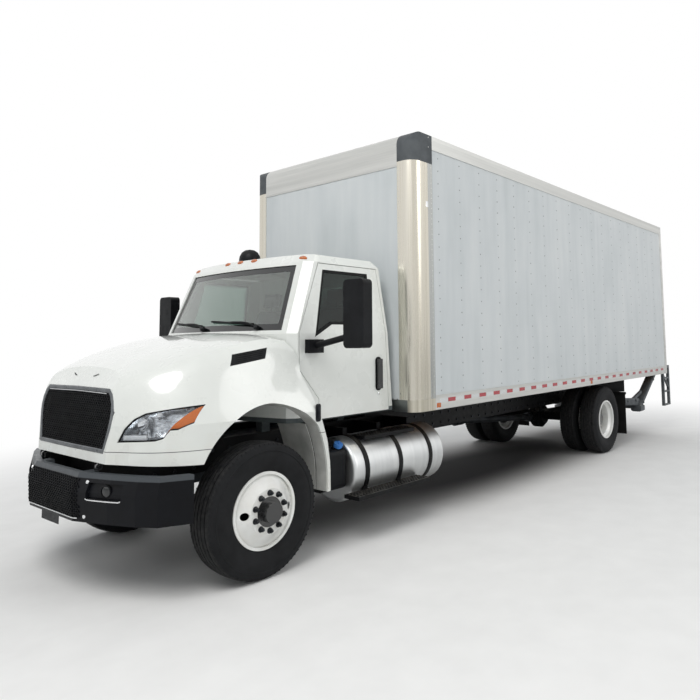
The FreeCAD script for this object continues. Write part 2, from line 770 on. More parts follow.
def leaf_spring(axle_x, foot_z, leaves, camber, span):
    """The left spring: leaves that grow longer upwards, with an eye at each end of the longest."""
    pieces = []
    for number in range(leaves):
        half = span / 2 * (number + 1) / leaves
        pieces.append(leaf(axle_x, foot_z + number * SPRING_LEAF, half, camber, span))
    eye_z = foot_z + leaves * SPRING_LEAF + camber
    low_y, high_y = RAIL_MIDDLE_Y - SPRING_WIDTH / 2, RAIL_MIDDLE_Y + SPRING_WIDTH / 2
    for end in (-1, 1):
        eye_x = axle_x + end * span / 2
        pieces.append(rod(SPRING_EYE_RADIUS, point(eye_x, low_y, eye_z), point(eye_x, high_y, eye_z)))
    return joined(pieces)


def leaf_springs():
    front = leaf_spring(0, front_spring_foot_z(), FRONT_SPRING_LEAVES, FRONT_SPRING_CAMBER,
                        FRONT_SPRING_SPAN)
    rear = leaf_spring(REAR_AXLE_X, rear_spring_foot_z(), REAR_SPRING_LEAVES, REAR_SPRING_CAMBER,
                       REAR_SPRING_SPAN)
    return together(pair(front) + pair(rear))


def front_axle():
    """The dropped I-beam, with a bored boss at each end for the kingpin."""
    middle = AXLE_Z - AXLE_BEAM_DROP
    low, high = middle - AXLE_BEAM_HEIGHT / 2, middle + AXLE_BEAM_HEIGHT / 2
    rise_y = KINGPIN_Y - AXLE_RISE_INSET
    end_low, end_high = AXLE_Z - AXLE_END_HEIGHT / 2, AXLE_Z + AXLE_END_HEIGHT / 2
    end_y = KINGPIN_Y - KINGPIN_BOSS_RADIUS - KNUCKLE_GAP
    half = [(0, low), (rise_y, low), (end_y, end_low), (KINGPIN_Y, end_low), (KINGPIN_Y, end_high),
            (rise_y, high),
            (0, high)]
    places = [(-y, z) for y, z in reversed(half)] + half
    beam = front_prism(places[1:-1], (-AXLE_BEAM_WIDTH / 2, AXLE_BEAM_WIDTH / 2))
    for side in (-1, 1):
        pocket = block((side * AXLE_BEAM_WEB / 2, side * AXLE_BEAM_WIDTH), (-rise_y, rise_y),
                       (low + AXLE_BEAM_FLANGE, high - AXLE_BEAM_FLANGE))
        beam = beam.cut(pocket)
    boss_low = point(0, KINGPIN_Y, AXLE_Z - KINGPIN_BOSS_HEIGHT / 2)
    boss_high = point(0, KINGPIN_Y, AXLE_Z + KINGPIN_BOSS_HEIGHT / 2)
    whole = joined([beam] + pair(rod(KINGPIN_BOSS_RADIUS, boss_low, boss_high)))
    for bore in pair(rod(KINGPIN_RADIUS + SEAT_GAP, boss_low, boss_high)):
        whole = whole.cut(bore)
    return whole


def knuckle():
    """The left steering knuckle: two ears on the kingpin, a plate, the spindle and the steering arm."""
    half_boss = KINGPIN_BOSS_HEIGHT / 2 + SEAT_GAP
    pieces = []
    plate_y = KINGPIN_Y + KINGPIN_BOSS_RADIUS + KNUCKLE_GAP
    for side in (-1, 1):
        near = AXLE_Z + side * half_boss
        far = near + side * KNUCKLE_EAR
        pieces.append(rod(KINGPIN_BOSS_RADIUS, point(0, KINGPIN_Y, near), point(0, KINGPIN_Y, far)))
        pieces.append(block((-KINGPIN_BOSS_RADIUS, KINGPIN_BOSS_RADIUS),
                            (KINGPIN_Y, plate_y + KNUCKLE_PLATE),
                            (near, far)))
    reach = half_boss + KNUCKLE_EAR
    pieces.append(rod(KINGPIN_RADIUS, point(0, KINGPIN_Y, AXLE_Z - reach),
                      point(0, KINGPIN_Y, AXLE_Z + reach)))
    pieces.append(block((-KINGPIN_BOSS_RADIUS, KINGPIN_BOSS_RADIUS), (plate_y, plate_y + KNUCKLE_PLATE),
                        (AXLE_Z - reach, AXLE_Z + reach)))
    tip = FRONT_WHEEL_Y + DISC_OUTSET - DISC_METAL - SEAT_GAP
    pieces.append(rod(SPINDLE_RADIUS, point(0, plate_y, AXLE_Z), point(0, tip, AXLE_Z)))
    brake_y = plate_y + KNUCKLE_PLATE
    pieces.append(rod(BRAKE_PLATE_RADIUS, point(0, brake_y, AXLE_Z),
                      point(0, brake_y + BRAKE_PLATE_METAL, AXLE_Z)))
    pieces.append(steering_arm(reach, plate_y))
    return joined(pieces)


def steering_arm(reach, plate_y):
    """The arm that reaches back from the knuckle's foot to the tie rod's ball."""
    high = AXLE_Z - reach + STEERING_ARM_METAL
    low = high - STEERING_ARM_METAL
    half = STEERING_ARM_WIDTH / 2
    arm = block((-STEERING_ARM_LENGTH, 0), (KINGPIN_Y - half, KINGPIN_Y + half), (low, high))
    end = rod(half, point(-STEERING_ARM_LENGTH, KINGPIN_Y, low),
              point(-STEERING_ARM_LENGTH, KINGPIN_Y, high))
    return joined([arm, end])


def tie_rod():
    """The rod between the two steering arms, with an eye under each."""
    high = AXLE_Z - KINGPIN_BOSS_HEIGHT / 2 - SEAT_GAP - KNUCKLE_EAR - SEAT_GAP
    low = high - TIE_ROD_EYE_HEIGHT
    x = -STEERING_ARM_LENGTH
    eyes = pair(rod(TIE_ROD_EYE_RADIUS, point(x, KINGPIN_Y, low), point(x, KINGPIN_Y, high)))
    middle = (low + high) / 2
    bar = rod(TIE_ROD_RADIUS, point(x, -KINGPIN_Y, middle), point(x, KINGPIN_Y, middle))
    return joined([bar] + eyes)


def rear_axle():
    """The drive axle's housing: a banjo with its pinion nose, and a tube out to each hub."""
    tip = OUTER_DUAL_Y - DISC_OUTSET + DISC_METAL - SEAT_GAP
    tube_piece = rod(REAR_HOUSING_RADIUS, point(REAR_AXLE_X, -tip, AXLE_Z), point(REAR_AXLE_X, tip, AXLE_Z))
    half = BANJO_DEPTH / 2
    banjo = turned([(-half, 0), (-half, BANJO_RADIUS - half / 2), (-half / 2, BANJO_RADIUS),
                    (half / 2, BANJO_RADIUS), (half, BANJO_RADIUS - half / 2), (half,
                                                                                0)], REAR_AXLE_X, AXLE_Z)
    pinion = rod(PINION_RADIUS, point(REAR_AXLE_X, 0, AXLE_Z),
                 point(REAR_AXLE_X + PINION_LENGTH, 0, AXLE_Z))
    return joined([tube_piece, banjo, pinion])


def driveshaft():
    """Two open shafts with a joint at each end, and the bearing that hangs between them."""
    front = point(GEARBOX_REAR_X - SEAT_GAP, 0, SHAFT_FRONT_Z)
    bearing_x = crossmember_x(CENTRE_BEARING_MEMBER)
    middle = point(bearing_x, 0, CENTRE_BEARING_Z)
    back = point(REAR_AXLE_X + PINION_LENGTH + SEAT_GAP, 0, AXLE_Z)
    step = X_AXIS * SHAFT_JOINT_LENGTH
    pieces = [rod(SHAFT_JOINT_RADIUS, front, front - step), rod(SHAFT_JOINT_RADIUS, back, back + step),
              rod(SHAFT_JOINT_RADIUS, middle + step, middle - step),
              rod(SHAFT_RADIUS, front - step, middle), rod(SHAFT_RADIUS, middle, back + step)]
    hanger_top = FRAME_TOP_Z - RAIL_METAL - CROSSMEMBER_DROP - CROSSMEMBER_METAL - SEAT_GAP
    half = SHAFT_JOINT_RADIUS
    pieces.append(block((bearing_x - BEARING_HANGER / 2, bearing_x + BEARING_HANGER / 2), (-half, half),
                        (CENTRE_BEARING_Z, hanger_top)))
    return joined(pieces)


def engine():
    """The engine and gearbox as one plain stepped block at their real place."""
    half, box_half = ENGINE_WIDTH / 2, GEARBOX_WIDTH / 2
    power = block((ENGINE_REAR_X, ENGINE_FRONT_X), (-half, half), (ENGINE_SUMP_Z, ENGINE_TOP_Z))
    gears = block((GEARBOX_REAR_X, ENGINE_REAR_X), (-box_half, box_half), (ENGINE_SUMP_Z, GEARBOX_TOP_Z))
    feet = pair(block((ENGINE_REAR_X, ENGINE_REAR_X + ENGINE_FOOT),
                      (half, RAIL_OUTER_Y - RAIL_METAL - SEAT_GAP),
                      (FRAME_TOP_Z - RAIL_HEIGHT / 2 - ENGINE_FOOT / 2, FRAME_TOP_Z - RAIL_HEIGHT / 2)))
    return joined([power, gears] + feet)


def radiator():
    """The radiator: a core between a top and a bottom tank, standing on the rails."""
    low = FRAME_TOP_Z + SEAT_GAP
    half = RADIATOR_WIDTH / 2
    core = block((RADIATOR_X, RADIATOR_X + RADIATOR_DEPTH), (-half, half), (low, RADIATOR_TOP_Z))
    out = RADIATOR_TANK_OUT
    tanks = []
    for z in (low, RADIATOR_TOP_Z - RADIATOR_TANK_HEIGHT):
        tanks.append(block((RADIATOR_X - out, RADIATOR_X + RADIATOR_DEPTH + out), (-half - out, half + out),
                           (z, z + RADIATOR_TANK_HEIGHT)))
    return joined([core] + tanks)


def cab_levels(inset):
    """The cab's outer form as levels of (z, half width, front x, bow of the front, back x), drawn in
    by inset."""
    levels = [
        (CAB_FLOOR_Z, CAB_BELT_HALF, CAB_SCUTTLE_X, CAB_SCUTTLE_BOW, CAB_BACK_FLOOR_X),
        (CAB_BELT_Z, CAB_BELT_HALF, CAB_SCUTTLE_X, CAB_SCUTTLE_BOW, CAB_BACK_BELT_X),
        (CAB_EAVE_Z, CAB_EAVE_HALF, CAB_BROW_X, CAB_BROW_BOW, CAB_BACK_EAVE_X),
        (ROOF_SHOULDER_Z, CAB_EAVE_HALF - ROOF_EDGE_INSET, CAB_BROW_X - ROOF_EDGE_INSET, CAB_BROW_BOW,
         CAB_BACK_EAVE_X + ROOF_EDGE_INSET),
        (CAB_ROOF_Z, CAB_EAVE_HALF - ROOF_CROWN_INSET, CAB_BROW_X - ROOF_CROWN_INSET, CAB_BROW_BOW,
         CAB_BACK_EAVE_X + ROOF_CROWN_INSET)]
    drawn = []
    for number, (z, half, front, bow, back) in enumerate(levels):
        drop = inset if number > 2 else 0
        drawn.append((z - drop, half - inset, front - inset, bow, back + inset))
    return drawn


def cab_form(inset):
    """The cab as one solid, drawn in by inset: vertical up to the belt, leaning in above it, with a
    crowned roof."""
    wires = []
    for z, half, front, bow, back in cab_levels(inset):
        side, corner = half - CAB_CORNER, CAB_BACK_CORNER
        wires.append(outline([
            point(front, -side, z), (point(front + bow, 0, z), point(front, side, z)),
            point(front - CAB_CORNER, half, z), point(back + corner, half, z), point(back, half - corner,
                                                                                     z),
            point(back, corner - half, z), point(back + corner, -half, z), point(front - CAB_CORNER,
                                                                                 -half, z)]))
    return Part.makeLoft(wires, True, True)


def cab_skin(near, far):
    """The layer of the cab between two depths below its outer surface."""
    return cab_form(near).cut(cab_form(far))


def door_outline(gap):
    """The door from the side; gap grows it."""
    return [(DOOR_FOOT_FRONT_X + gap, DOOR_FOOT_Z - gap), (DOOR_FOOT_FRONT_X + gap, DOOR_NECK_LOW_Z),
            (DOOR_FRONT_X + gap, DOOR_NECK_TOP_Z), (DOOR_FRONT_X + gap, CAB_BELT_Z),
            (DOOR_TOP_FRONT_X + gap, DOOR_TOP_Z + gap), (DOOR_TOP_REAR_X - gap, DOOR_TOP_Z + gap),
            (DOOR_REAR_X - gap, CAB_BELT_Z), (DOOR_FOOT_REAR_X - gap, DOOR_FOOT_Z - gap)]


def window_outline(gap):
    """The door's window from the side: its sill drops towards the front."""
    return [(WINDOW_FRONT_LOW_X - gap, WINDOW_FRONT_LOW_Z + gap),
            (WINDOW_FRONT_TOP_X - gap, WINDOW_TOP_Z - gap),
            (WINDOW_REAR_X + gap, WINDOW_TOP_Z - gap), (WINDOW_REAR_X + gap, WINDOW_SILL_Z + gap),
            (WINDOW_SILL_BREAK_X, WINDOW_SILL_Z + gap)]


def left_reach():
    return (CAB_EAVE_HALF / 2, BODY_HALF)


def windshield_prism(gap):
    """The windshield from the front, carried back as far as the pillars."""
    low_half = CAB_BELT_HALF - CAB_CORNER - WINDSHIELD_MARGIN - gap
    top_half = CAB_EAVE_HALF - CAB_CORNER - WINDSHIELD_MARGIN - gap
    low, top = CAB_BELT_Z + WINDSHIELD_MARGIN / 2 + gap, CAB_EAVE_Z - WINDSHIELD_MARGIN / 2 - gap
    places = [(-low_half, low), (-top_half, top), (top_half, top), (low_half, low)]
    return front_prism(places, (CAB_BROW_X - 2 * CAB_WALL, 0))


def back_window_prism(gap):
    half = BACK_WINDOW_WIDTH / 2 - gap
    places = [(-half, BACK_WINDOW_LOW_Z + gap), (-half, BACK_WINDOW_TOP_Z - gap),
              (half, BACK_WINDOW_TOP_Z - gap), (half, BACK_WINDOW_LOW_Z + gap)]
    return front_prism(places, (BODY_FRONT_X, CAB_BACK_EAVE_X + 2 * CAB_WALL))


def front_region():
    """What lies ahead of the doors: the scuttle, firewall, pillars and windshield frame."""
    foot = CAB_FLOOR_Z + CAB_FLOOR_METAL
    places = [(HOOD_FRONT_X, foot), (HOOD_FRONT_X, CAB_EAVE_Z), (DOOR_TOP_FRONT_X + PANEL_GAP, CAB_EAVE_Z),
              (DOOR_TOP_FRONT_X + PANEL_GAP, DOOR_TOP_Z + PANEL_GAP), (DOOR_FRONT_X + PANEL_GAP,
                                                                       CAB_BELT_Z),
              (DOOR_FRONT_X + PANEL_GAP, DOOR_NECK_TOP_Z), (DOOR_FOOT_FRONT_X + PANEL_GAP, DOOR_NECK_LOW_Z),
              (DOOR_FOOT_FRONT_X + PANEL_GAP, foot)]
    return side_prism(places, (-BODY_HALF, BODY_HALF))


def side_zone():
    """Both side walls ahead of the rear corners, as far in as the walls are thick."""
    foot = CAB_FLOOR_Z + CAB_FLOOR_METAL
    depth = CAB_WALL + PANEL_GAP
    belt, eave = CAB_BELT_HALF - depth, CAB_EAVE_HALF - depth
    wall = front_prism([(belt, foot), (belt, CAB_BELT_Z), (eave, CAB_EAVE_Z), (BODY_HALF, CAB_EAVE_Z),
                        (BODY_HALF, foot)], (BODY_FRONT_X, HOOD_FRONT_X))
    inset = CAB_PILLAR_INSET
    ahead = side_prism([(CAB_BACK_FLOOR_X + inset, foot), (CAB_BACK_BELT_X + inset, CAB_BELT_Z),
                        (CAB_BACK_EAVE_X + inset, CAB_EAVE_Z), (HOOD_FRONT_X, CAB_EAVE_Z), (HOOD_FRONT_X,
                                                                                            foot)],
                       (-BODY_HALF, BODY_HALF))
    return together(pair(wall.common(ahead)))


def under_eave():
    return block((BODY_FRONT_X, HOOD_FRONT_X), (-BODY_HALF, BODY_HALF),
                 (CAB_FLOOR_Z + CAB_FLOOR_METAL, CAB_EAVE_Z))


def cab_cowl(skin):
    return skin.common(front_region()).cut(windshield_prism(0))


def cab_back(skin):
    """The rear wall with its corners, clear of the doors whose rear edges reach round them."""
    wall = skin.common(under_eave()).cut(front_region()).cut(side_zone())
    for doorway in pair(side_prism(door_outline(PANEL_GAP), left_reach())):
        wall = wall.cut(doorway)
    return max(wall.Solids, key=lambda piece: piece.Volume).cut(back_window_prism(0))


def cab_sides(skin):
    """The two side frames: sill, rear pillar and the rail over the door."""
    walls = skin.common(side_zone()).cut(front_region())
    door_hole = side_prism(door_outline(PANEL_GAP), (-BODY_HALF, BODY_HALF))
    return together(walls.cut(door_hole).Solids)


def cab_roof(skin):
    above = block((BODY_FRONT_X, HOOD_FRONT_X), (-BODY_HALF, BODY_HALF), (CAB_EAVE_Z, BODY_TOP_Z))
    return skin.common(above)


def cab_floor():
    """The floor pan with its tunnel over the gearbox, on four mounts that stand on the rails."""
    top = CAB_FLOOR_Z + CAB_FLOOR_METAL
    slab = cab_form(0).common(block((BODY_FRONT_X, HOOD_FRONT_X), (-BODY_HALF, BODY_HALF),
                                    (CAB_FLOOR_Z, top)))
    for room in pair(side_prism(door_outline(PANEL_GAP),
                                (CAB_BELT_HALF - CAB_WALL - PANEL_GAP, BODY_HALF))):
        slab = slab.cut(room)
    half = TUNNEL_WIDTH / 2
    front, back = CAB_SCUTTLE_X - CAB_WALL - SEAT_GAP, CAB_BACK_FLOOR_X + CAB_WALL + 2 * PANEL_GAP
    tunnel = block((back, front), (-half, half), (top - CAB_FLOOR_METAL / 2, TUNNEL_TOP_Z))
    pieces = [slab, tunnel]
    for share in CAB_MOUNT_SHARES:
        x = front + share * (back - front)
        mount = block((x - CAB_MOUNT_SIZE / 2, x + CAB_MOUNT_SIZE / 2),
                      (RAIL_OUTER_Y - CAB_MOUNT_SIZE, RAIL_OUTER_Y), (FRAME_TOP_Z + SEAT_GAP, CAB_FLOOR_Z))
        pieces += pair(mount)
    return joined(pieces)


def cab_glass():
    """The windshield and the back window, set in their frames."""
    layer = cab_skin(GLASS_INSET, GLASS_INSET + GLASS_METAL)
    panes = [layer.common(hole) for hole in (windshield_prism(SEAT_GAP), back_window_prism(SEAT_GAP))]
    return together(panes[0].Solids + panes[1].Solids)


def door(skin, side):
    reach = left_reach()
    body = skin.common(side_prism(door_outline(0), reach)).cut(side_prism(window_outline(0), reach))
    x = HANDLE_X
    skin_y = CAB_BELT_HALF
    handle = block((x - HANDLE_WIDTH / 2, x + HANDLE_WIDTH / 2), (skin_y, skin_y + HANDLE_OUT),
                   (HANDLE_LOW_Z, HANDLE_LOW_Z + HANDLE_HEIGHT))
    grip = block((x - HANDLE_WIDTH / 2, x + HANDLE_WIDTH / 2), (skin_y, skin_y + HANDLE_OUT / 2),
                 (HANDLE_LOW_Z + HANDLE_WIDTH / 2, HANDLE_LOW_Z + HANDLE_HEIGHT - HANDLE_WIDTH / 2))
    return on_side(joined([body, handle.cut(grip)]), side)


def door_glass(side):
    layer = cab_skin(GLASS_INSET, GLASS_INSET + GLASS_METAL)
    return on_side(layer.common(side_prism(window_outline(SEAT_GAP), left_reach())), side)


def mirror(side):
    """A tall mirror head on a tapering arm from a foot on the door."""
    head_x = (MIRROR_X - MIRROR_DEPTH / 2, MIRROR_X + MIRROR_DEPTH / 2)
    head = block(head_x, (MIRROR_Y - MIRROR_WIDTH / 2, MIRROR_Y + MIRROR_WIDTH / 2),
                 (MIRROR_LOW_Z, MIRROR_LOW_Z + MIRROR_HEIGHT))
    head = head.makeFillet(MIRROR_CORNER,
                           [e for e in head.Edges if abs(e.tangentAt(e.FirstParameter).x) > 0.5])
    foot_front = DOOR_FRONT_X - MIRROR_FOOT_BACK
    foot = block((foot_front - MIRROR_FOOT_LENGTH, foot_front),
                 (CAB_BELT_HALF + SEAT_GAP, CAB_BELT_HALF + MIRROR_FOOT_OUT),
                 (MIRROR_ARM_Z - MIRROR_FOOT_HEIGHT / 2, MIRROR_ARM_Z + MIRROR_FOOT_HEIGHT / 2))
    start = point(foot_front - MIRROR_FOOT_LENGTH / 2, CAB_BELT_HALF + MIRROR_FOOT_OUT / 2, MIRROR_ARM_Z)
    end = point(MIRROR_X, MIRROR_Y, MIRROR_LOW_Z + MIRROR_WIDTH / 2)
    arm = rod(MIRROR_ARM_RADIUS, start, end)
    return on_side(joined([head, foot, arm]), side)


def seat(side):
    """A bucket seat on its pedestal, as one upholstered block."""
    floor = CAB_FLOOR_Z + CAB_FLOOR_METAL + SEAT_GAP
    front, back = SEAT_X + SEAT_DEPTH / 2, SEAT_X - SEAT_DEPTH / 2
    cushion, top = floor + SEAT_BASE_HEIGHT, floor + SEAT_BASE_HEIGHT + SEAT_CUSHION
    toe = SEAT_CORNER
    places = [(front - 2 * toe, floor), (front - 2 * toe, cushion), (front, cushion), (front, top - toe),
              (front - toe, top), (back + SEAT_BACK_METAL, top),
              (back + SEAT_BACK_METAL - SEAT_BACK_LEAN, top + SEAT_BACK_HEIGHT),
              (back - SEAT_BACK_LEAN, top + SEAT_BACK_HEIGHT), (back, top), (back, floor)]
    half = SEAT_WIDTH / 2
    return on_side(side_prism(places, (SEAT_Y - half, SEAT_Y + half)), side)


def dashboard():
    """The dash: a moulded block across the cab that follows the inside of the scuttle."""
    front = CAB_SCUTTLE_X + CAB_SCUTTLE_BOW
    lip = SEAT_CORNER
    places = [(front, DASH_LOW_Z), (front, DASH_TOP_Z), (DASH_REAR_X + lip, DASH_TOP_Z - lip / 2),
              (DASH_REAR_X, DASH_TOP_Z - 2 * lip), (DASH_REAR_X, (DASH_TOP_Z + DASH_LOW_Z) / 2),
              (DASH_REAR_X + 2 * lip, DASH_LOW_Z)]
    return side_prism(places, (-DASH_HALF, DASH_HALF)).common(cab_form(CAB_WALL + SEAT_GAP))


def steering_wheel(dash):
    """The wheel's rim, two spokes, hub and the column down to the dash."""
    tilt = math.radians(STEERING_COLUMN_TILT)
    away = point(math.cos(tilt), 0, -math.sin(tilt))
    middle = point(STEERING_WHEEL_X, SEAT_Y, STEERING_WHEEL_Z)
    rim = Part.makeTorus(STEERING_WHEEL_RADIUS, STEERING_WHEEL_RIM, middle, away)
    spoke = rod(STEERING_WHEEL_RIM, middle - Y_AXIS * STEERING_WHEEL_RADIUS,
                middle + Y_AXIS * STEERING_WHEEL_RADIUS)
    hub = rod(STEERING_HUB_RADIUS, middle - away * STEERING_WHEEL_RIM,
              middle + away * (2 * STEERING_WHEEL_RIM))
    column = rod(STEERING_COLUMN_RADIUS, middle, middle + away * (2 * STEERING_WHEEL_RADIUS))
    column = column.cut(dash)
    nearest = min(column.Solids, key=lambda piece: (piece.CenterOfMass - middle).Length)
    return joined([rim, spoke, hub, nearest])


def hood_section(x_share, half_share, top_share, inset):
    """One upright section of the hood: a smooth crown down to the fender's waist, then straight to its
    foot."""
    length = HOOD_FRONT_X - inset - HOOD_TAIL_X
    x = HOOD_TAIL_X + x_share * length - (inset if x_share == 0 else 0)
    half, top = HOOD_HALF * half_share - inset, HOOD_TOP_Z * top_share - inset
    crown, flank = [], []
    for number, (tail, nose) in enumerate(zip(HOOD_TAIL_SECTION_SHARES, HOOD_NOSE_SECTION_SHARES)):
        y_share = tail[0] + (nose[0] - tail[0]) * x_share
        fall_share = tail[1] + (nose[1] - tail[1]) * x_share
        place = point(x, half * y_share, top - fall_share * (top - HOOD_WAIST_Z))
        if number <= HOOD_SHOULDER:
            crown.append(place)
        if number >= HOOD_SHOULDER:
            flank.append(place)
    other = [point(x, -place.y, place.z) for place in reversed(crown[1:])]
    roof, left, right = Part.BSplineCurve(), Part.BSplineCurve(), Part.BSplineCurve()
    roof.interpolate(other + crown)
    left.interpolate(flank)
    right.interpolate([point(x, -place.y, place.z) for place in reversed(flank)])
    waist, foot = flank[-1], point(x, half, HOOD_BASE_Z - inset)
    low_right = point(x, -half, HOOD_BASE_Z - inset)
    return Part.Wire([roof.toShape(), left.toShape(), Part.LineSegment(waist, foot).toShape(),
                      Part.LineSegment(foot, low_right).toShape(),
                      Part.LineSegment(low_right, point(x, -half, waist.z)).toShape(), right.toShape()])


def hood_form(inset):
    """Hood and fenders as one solid, drawn in by inset: smooth from the cab to the nose, with a
    leaning face."""
    wires = [hood_section(x, half, top, inset) for x, half, top in HOOD_STATION_SHARES]
    body = Part.makeLoft(wires, True, False)
    base, high = HOOD_BASE_Z - inset, HOOD_TOP_Z + CUT_OVERRUN
    places = [(HOOD_TAIL_X - inset, base), (HOOD_FRONT_X - inset, base),
              (HOOD_FRONT_X - inset, GRILLE_FOOT_Z),
              (NOSE_BROW_X - inset, GRILLE_TOP_Z), (NOSE_BROW_X - NOSE_LEAN - inset,
                                                    HOOD_TOP_Z - NOSE_LEAN),
              (HOOD_TAIL_X - inset, high)]
    return body.common(side_prism(places, (-BODY_HALF, BODY_HALF)))


def hood_side_view():
    """What the hood keeps, from the side: level along its foot, and cut back along the door behind."""
    high = HOOD_TOP_Z + CUT_OVERRUN
    front = HOOD_FRONT_X + HOOD_WALL
    arch_front = ARCH_X + ARCH_RADIUS / 2
    places = [(front, HOOD_FOOT_Z), (HOOD_PIVOT_X - BUMPER_END_BACK, ARCH_FRONT_FOOT_Z),
              (arch_front, ARCH_FRONT_FOOT_Z),
              (arch_front, SKIRT_FOOT_Z)]
    for x_share, z_share in SKIRT_EDGE_SHARES:
        places.append((HOOD_REAR_X + x_share * (SKIRT_REAR_X - HOOD_REAR_X),
                       SKIRT_FOOT_Z + z_share * (SKIRT_TOP_Z - SKIRT_FOOT_Z)))
    places += [(HOOD_REAR_X, high), (front, high)]
    return side_prism(places, (-BODY_HALF, BODY_HALF))


def arch(gap):
    """The wheel arches' opening right across the truck: fuller ahead of the wheel than behind it."""
    radius = ARCH_RADIUS + gap
    at = [point(ARCH_X + x * radius, -BODY_HALF, ARCH_Z + z * radius) for x, z in ARCH_OUTLINE_SHARES]
    wire = outline([point(at[0].x, -BODY_HALF, 0), at[0], (at[1], at[2]), (at[3], at[4]), (at[5], at[6]),
                    point(at[6].x, -BODY_HALF, 0)])
    return Part.Face(wire).extrude(point(0, 2 * BODY_HALF, 0))


def grille_prism(gap):
    places = [(GRILLE_FOOT_HALF - gap, GRILLE_FOOT_Z + gap), (GRILLE_WIDE_HALF - gap, GRILLE_WIDE_Z),
              (GRILLE_TOP_HALF - gap, GRILLE_TOP_Z - gap)]
    places = places + [(-y, z) for y, z in reversed(places)]
    return front_prism(places, (HOOD_FRONT_X - 4 * GRILLE_DEPTH, HOOD_FRONT_X + HOOD_WALL))


def lamp_prism(gap):
    """The left headlamp from the front: narrow at the nose, swept up and back to a point."""
    places = []
    middle_y, middle_z = LAMP_INNER_Y + LAMP_WIDTH / 2, LAMP_FOOT_Z + LAMP_HEIGHT / 2
    for y_share, z_share in LAMP_OUTLINE_SHARES:
        y = LAMP_INNER_Y + y_share * LAMP_WIDTH
        z = LAMP_FOOT_Z + z_share * LAMP_HEIGHT
        shrink = 1 - 2 * gap / LAMP_HEIGHT
        places.append((middle_y + (y - middle_y) * shrink, middle_z + (z - middle_z) * shrink))
    return front_prism(places, (ARCH_X + ARCH_RADIUS / 2, HOOD_FRONT_X))


def vent_prism(gap):
    """The vent in the hood's left shoulder, from the side."""
    rise = VENT_FALL
    places = [(VENT_REAR_X + gap, VENT_REAR_Z - gap),
              (VENT_FRONT_X - VENT_HEIGHT / 2 - gap, VENT_REAR_Z - rise - gap),
              (VENT_FRONT_X - gap, VENT_REAR_Z - rise - VENT_HEIGHT + 2 * gap),
              (VENT_REAR_X + VENT_HEIGHT / 2 + gap, VENT_REAR_Z - VENT_HEIGHT + gap)]
    return side_prism(places, left_reach())


def hood_lug():
    """The left hinge lug: a bored plate inside the nose that drops to the hinge pin."""
    low_y = HOOD_PIVOT_Y - HOOD_LUG_METAL / 2
    back = HOOD_PIVOT_X - 2 * HOOD_LUG_RADIUS
    places = [(HOOD_PIVOT_X - HOOD_LUG_RADIUS, HOOD_PIVOT_Z), (back, GRILLE_FOOT_Z),
              (HOOD_FRONT_X, GRILLE_FOOT_Z), (HOOD_FRONT_X,
                                              HOOD_FOOT_Z), (HOOD_PIVOT_X + HOOD_LUG_RADIUS / 2,
                                                             HOOD_PIVOT_Z)]
    plate = side_prism(places, (low_y, low_y + HOOD_LUG_METAL)).common(hood_form(HOOD_WALL / 2))
    start, end = point(HOOD_PIVOT_X, low_y, HOOD_PIVOT_Z), point(HOOD_PIVOT_X, low_y + HOOD_LUG_METAL,
                                                                 HOOD_PIVOT_Z)
    return joined([plate, rod(HOOD_LUG_RADIUS, start, end)]), rod(HOOD_PIN_RADIUS + SEAT_GAP, start, end)


def hood():
    """The tilting hood in one piece with its fenders: an open shell with its arches, grille, lamp and
    vent holes cut."""
    shell = hood_form(0).cut(hood_form(HOOD_WALL)).common(hood_side_view()).cut(arch(0))
    shell = shell.cut(cab_form(-COWL_GAP)).cut(grille_prism(0))
    for cut in pair(lamp_prism(0)) + pair(vent_prism(0)):
        shell = shell.cut(cut)
    lug, bore = hood_lug()
    whole = joined([shell] + pair(lug))
    for hole in pair(bore):
        whole = whole.cut(hole)
    return whole


def grilles():
    """The nose grille with its rows of tall cells, and the slatted vents in both shoulders."""
    layer = hood_form(HOOD_WALL / 4).cut(hood_form(HOOD_WALL))
    panel = layer.common(grille_prism(SEAT_GAP))
    field = grille_prism(GRILLE_FRAME)
    height = GRILLE_TOP_Z - GRILLE_FOOT_Z - 2 * GRILLE_FRAME
    pitch_z = height / GRILLE_ROWS
    pitch_y = 2 * GRILLE_WIDE_HALF / GRILLE_COLUMNS
    cells = []
    for row in range(GRILLE_ROWS):
        low = GRILLE_FOOT_Z + GRILLE_FRAME + row * pitch_z + GRILLE_BAR / 2
        for column in range(GRILLE_COLUMNS):
            start = -GRILLE_WIDE_HALF + column * pitch_y + GRILLE_POST / 2
            cell = block((HOOD_FRONT_X - 4 * GRILLE_DEPTH, HOOD_FRONT_X + HOOD_WALL),
                         (start, start + pitch_y - GRILLE_POST), (low, low + pitch_z - GRILLE_BAR))
            cells.append(cell)
    openings = together(cells).common(field)
    vents = pair(layer.common(vent_prism(SEAT_GAP)))
    return together([panel.cut(openings)] + vents)


def headlamps():
    lamp = hood_form(HOOD_WALL / 4).cut(hood_form(LAMP_DEPTH)).common(lamp_prism(SEAT_GAP))
    lamp = lamp.cut(arch(LINER_METAL + PANEL_GAP))
    return together(pair(max(lamp.Solids, key=lambda piece: piece.Volume)))


def liner_ring():
    """The left wheel's inner liner all round its arch, from the frame side out to the fender."""
    ring = arch(LINER_METAL).cut(arch(0))
    room = hood_form(HOOD_WALL + SEAT_GAP).common(hood_side_view())
    left = block((HOOD_TAIL_X, HOOD_FRONT_X), (LINER_INNER_Y, BODY_HALF), (0, HOOD_TOP_Z))
    return ring.common(room).common(left)


def under_cab():
    """The part of the liner's ring that lies behind and under the cab's front corner."""
    return block((HOOD_TAIL_X, SHIELD_FRONT_X), (0, CAB_BELT_HALF + COWL_GAP), (0, HOOD_TOP_Z))


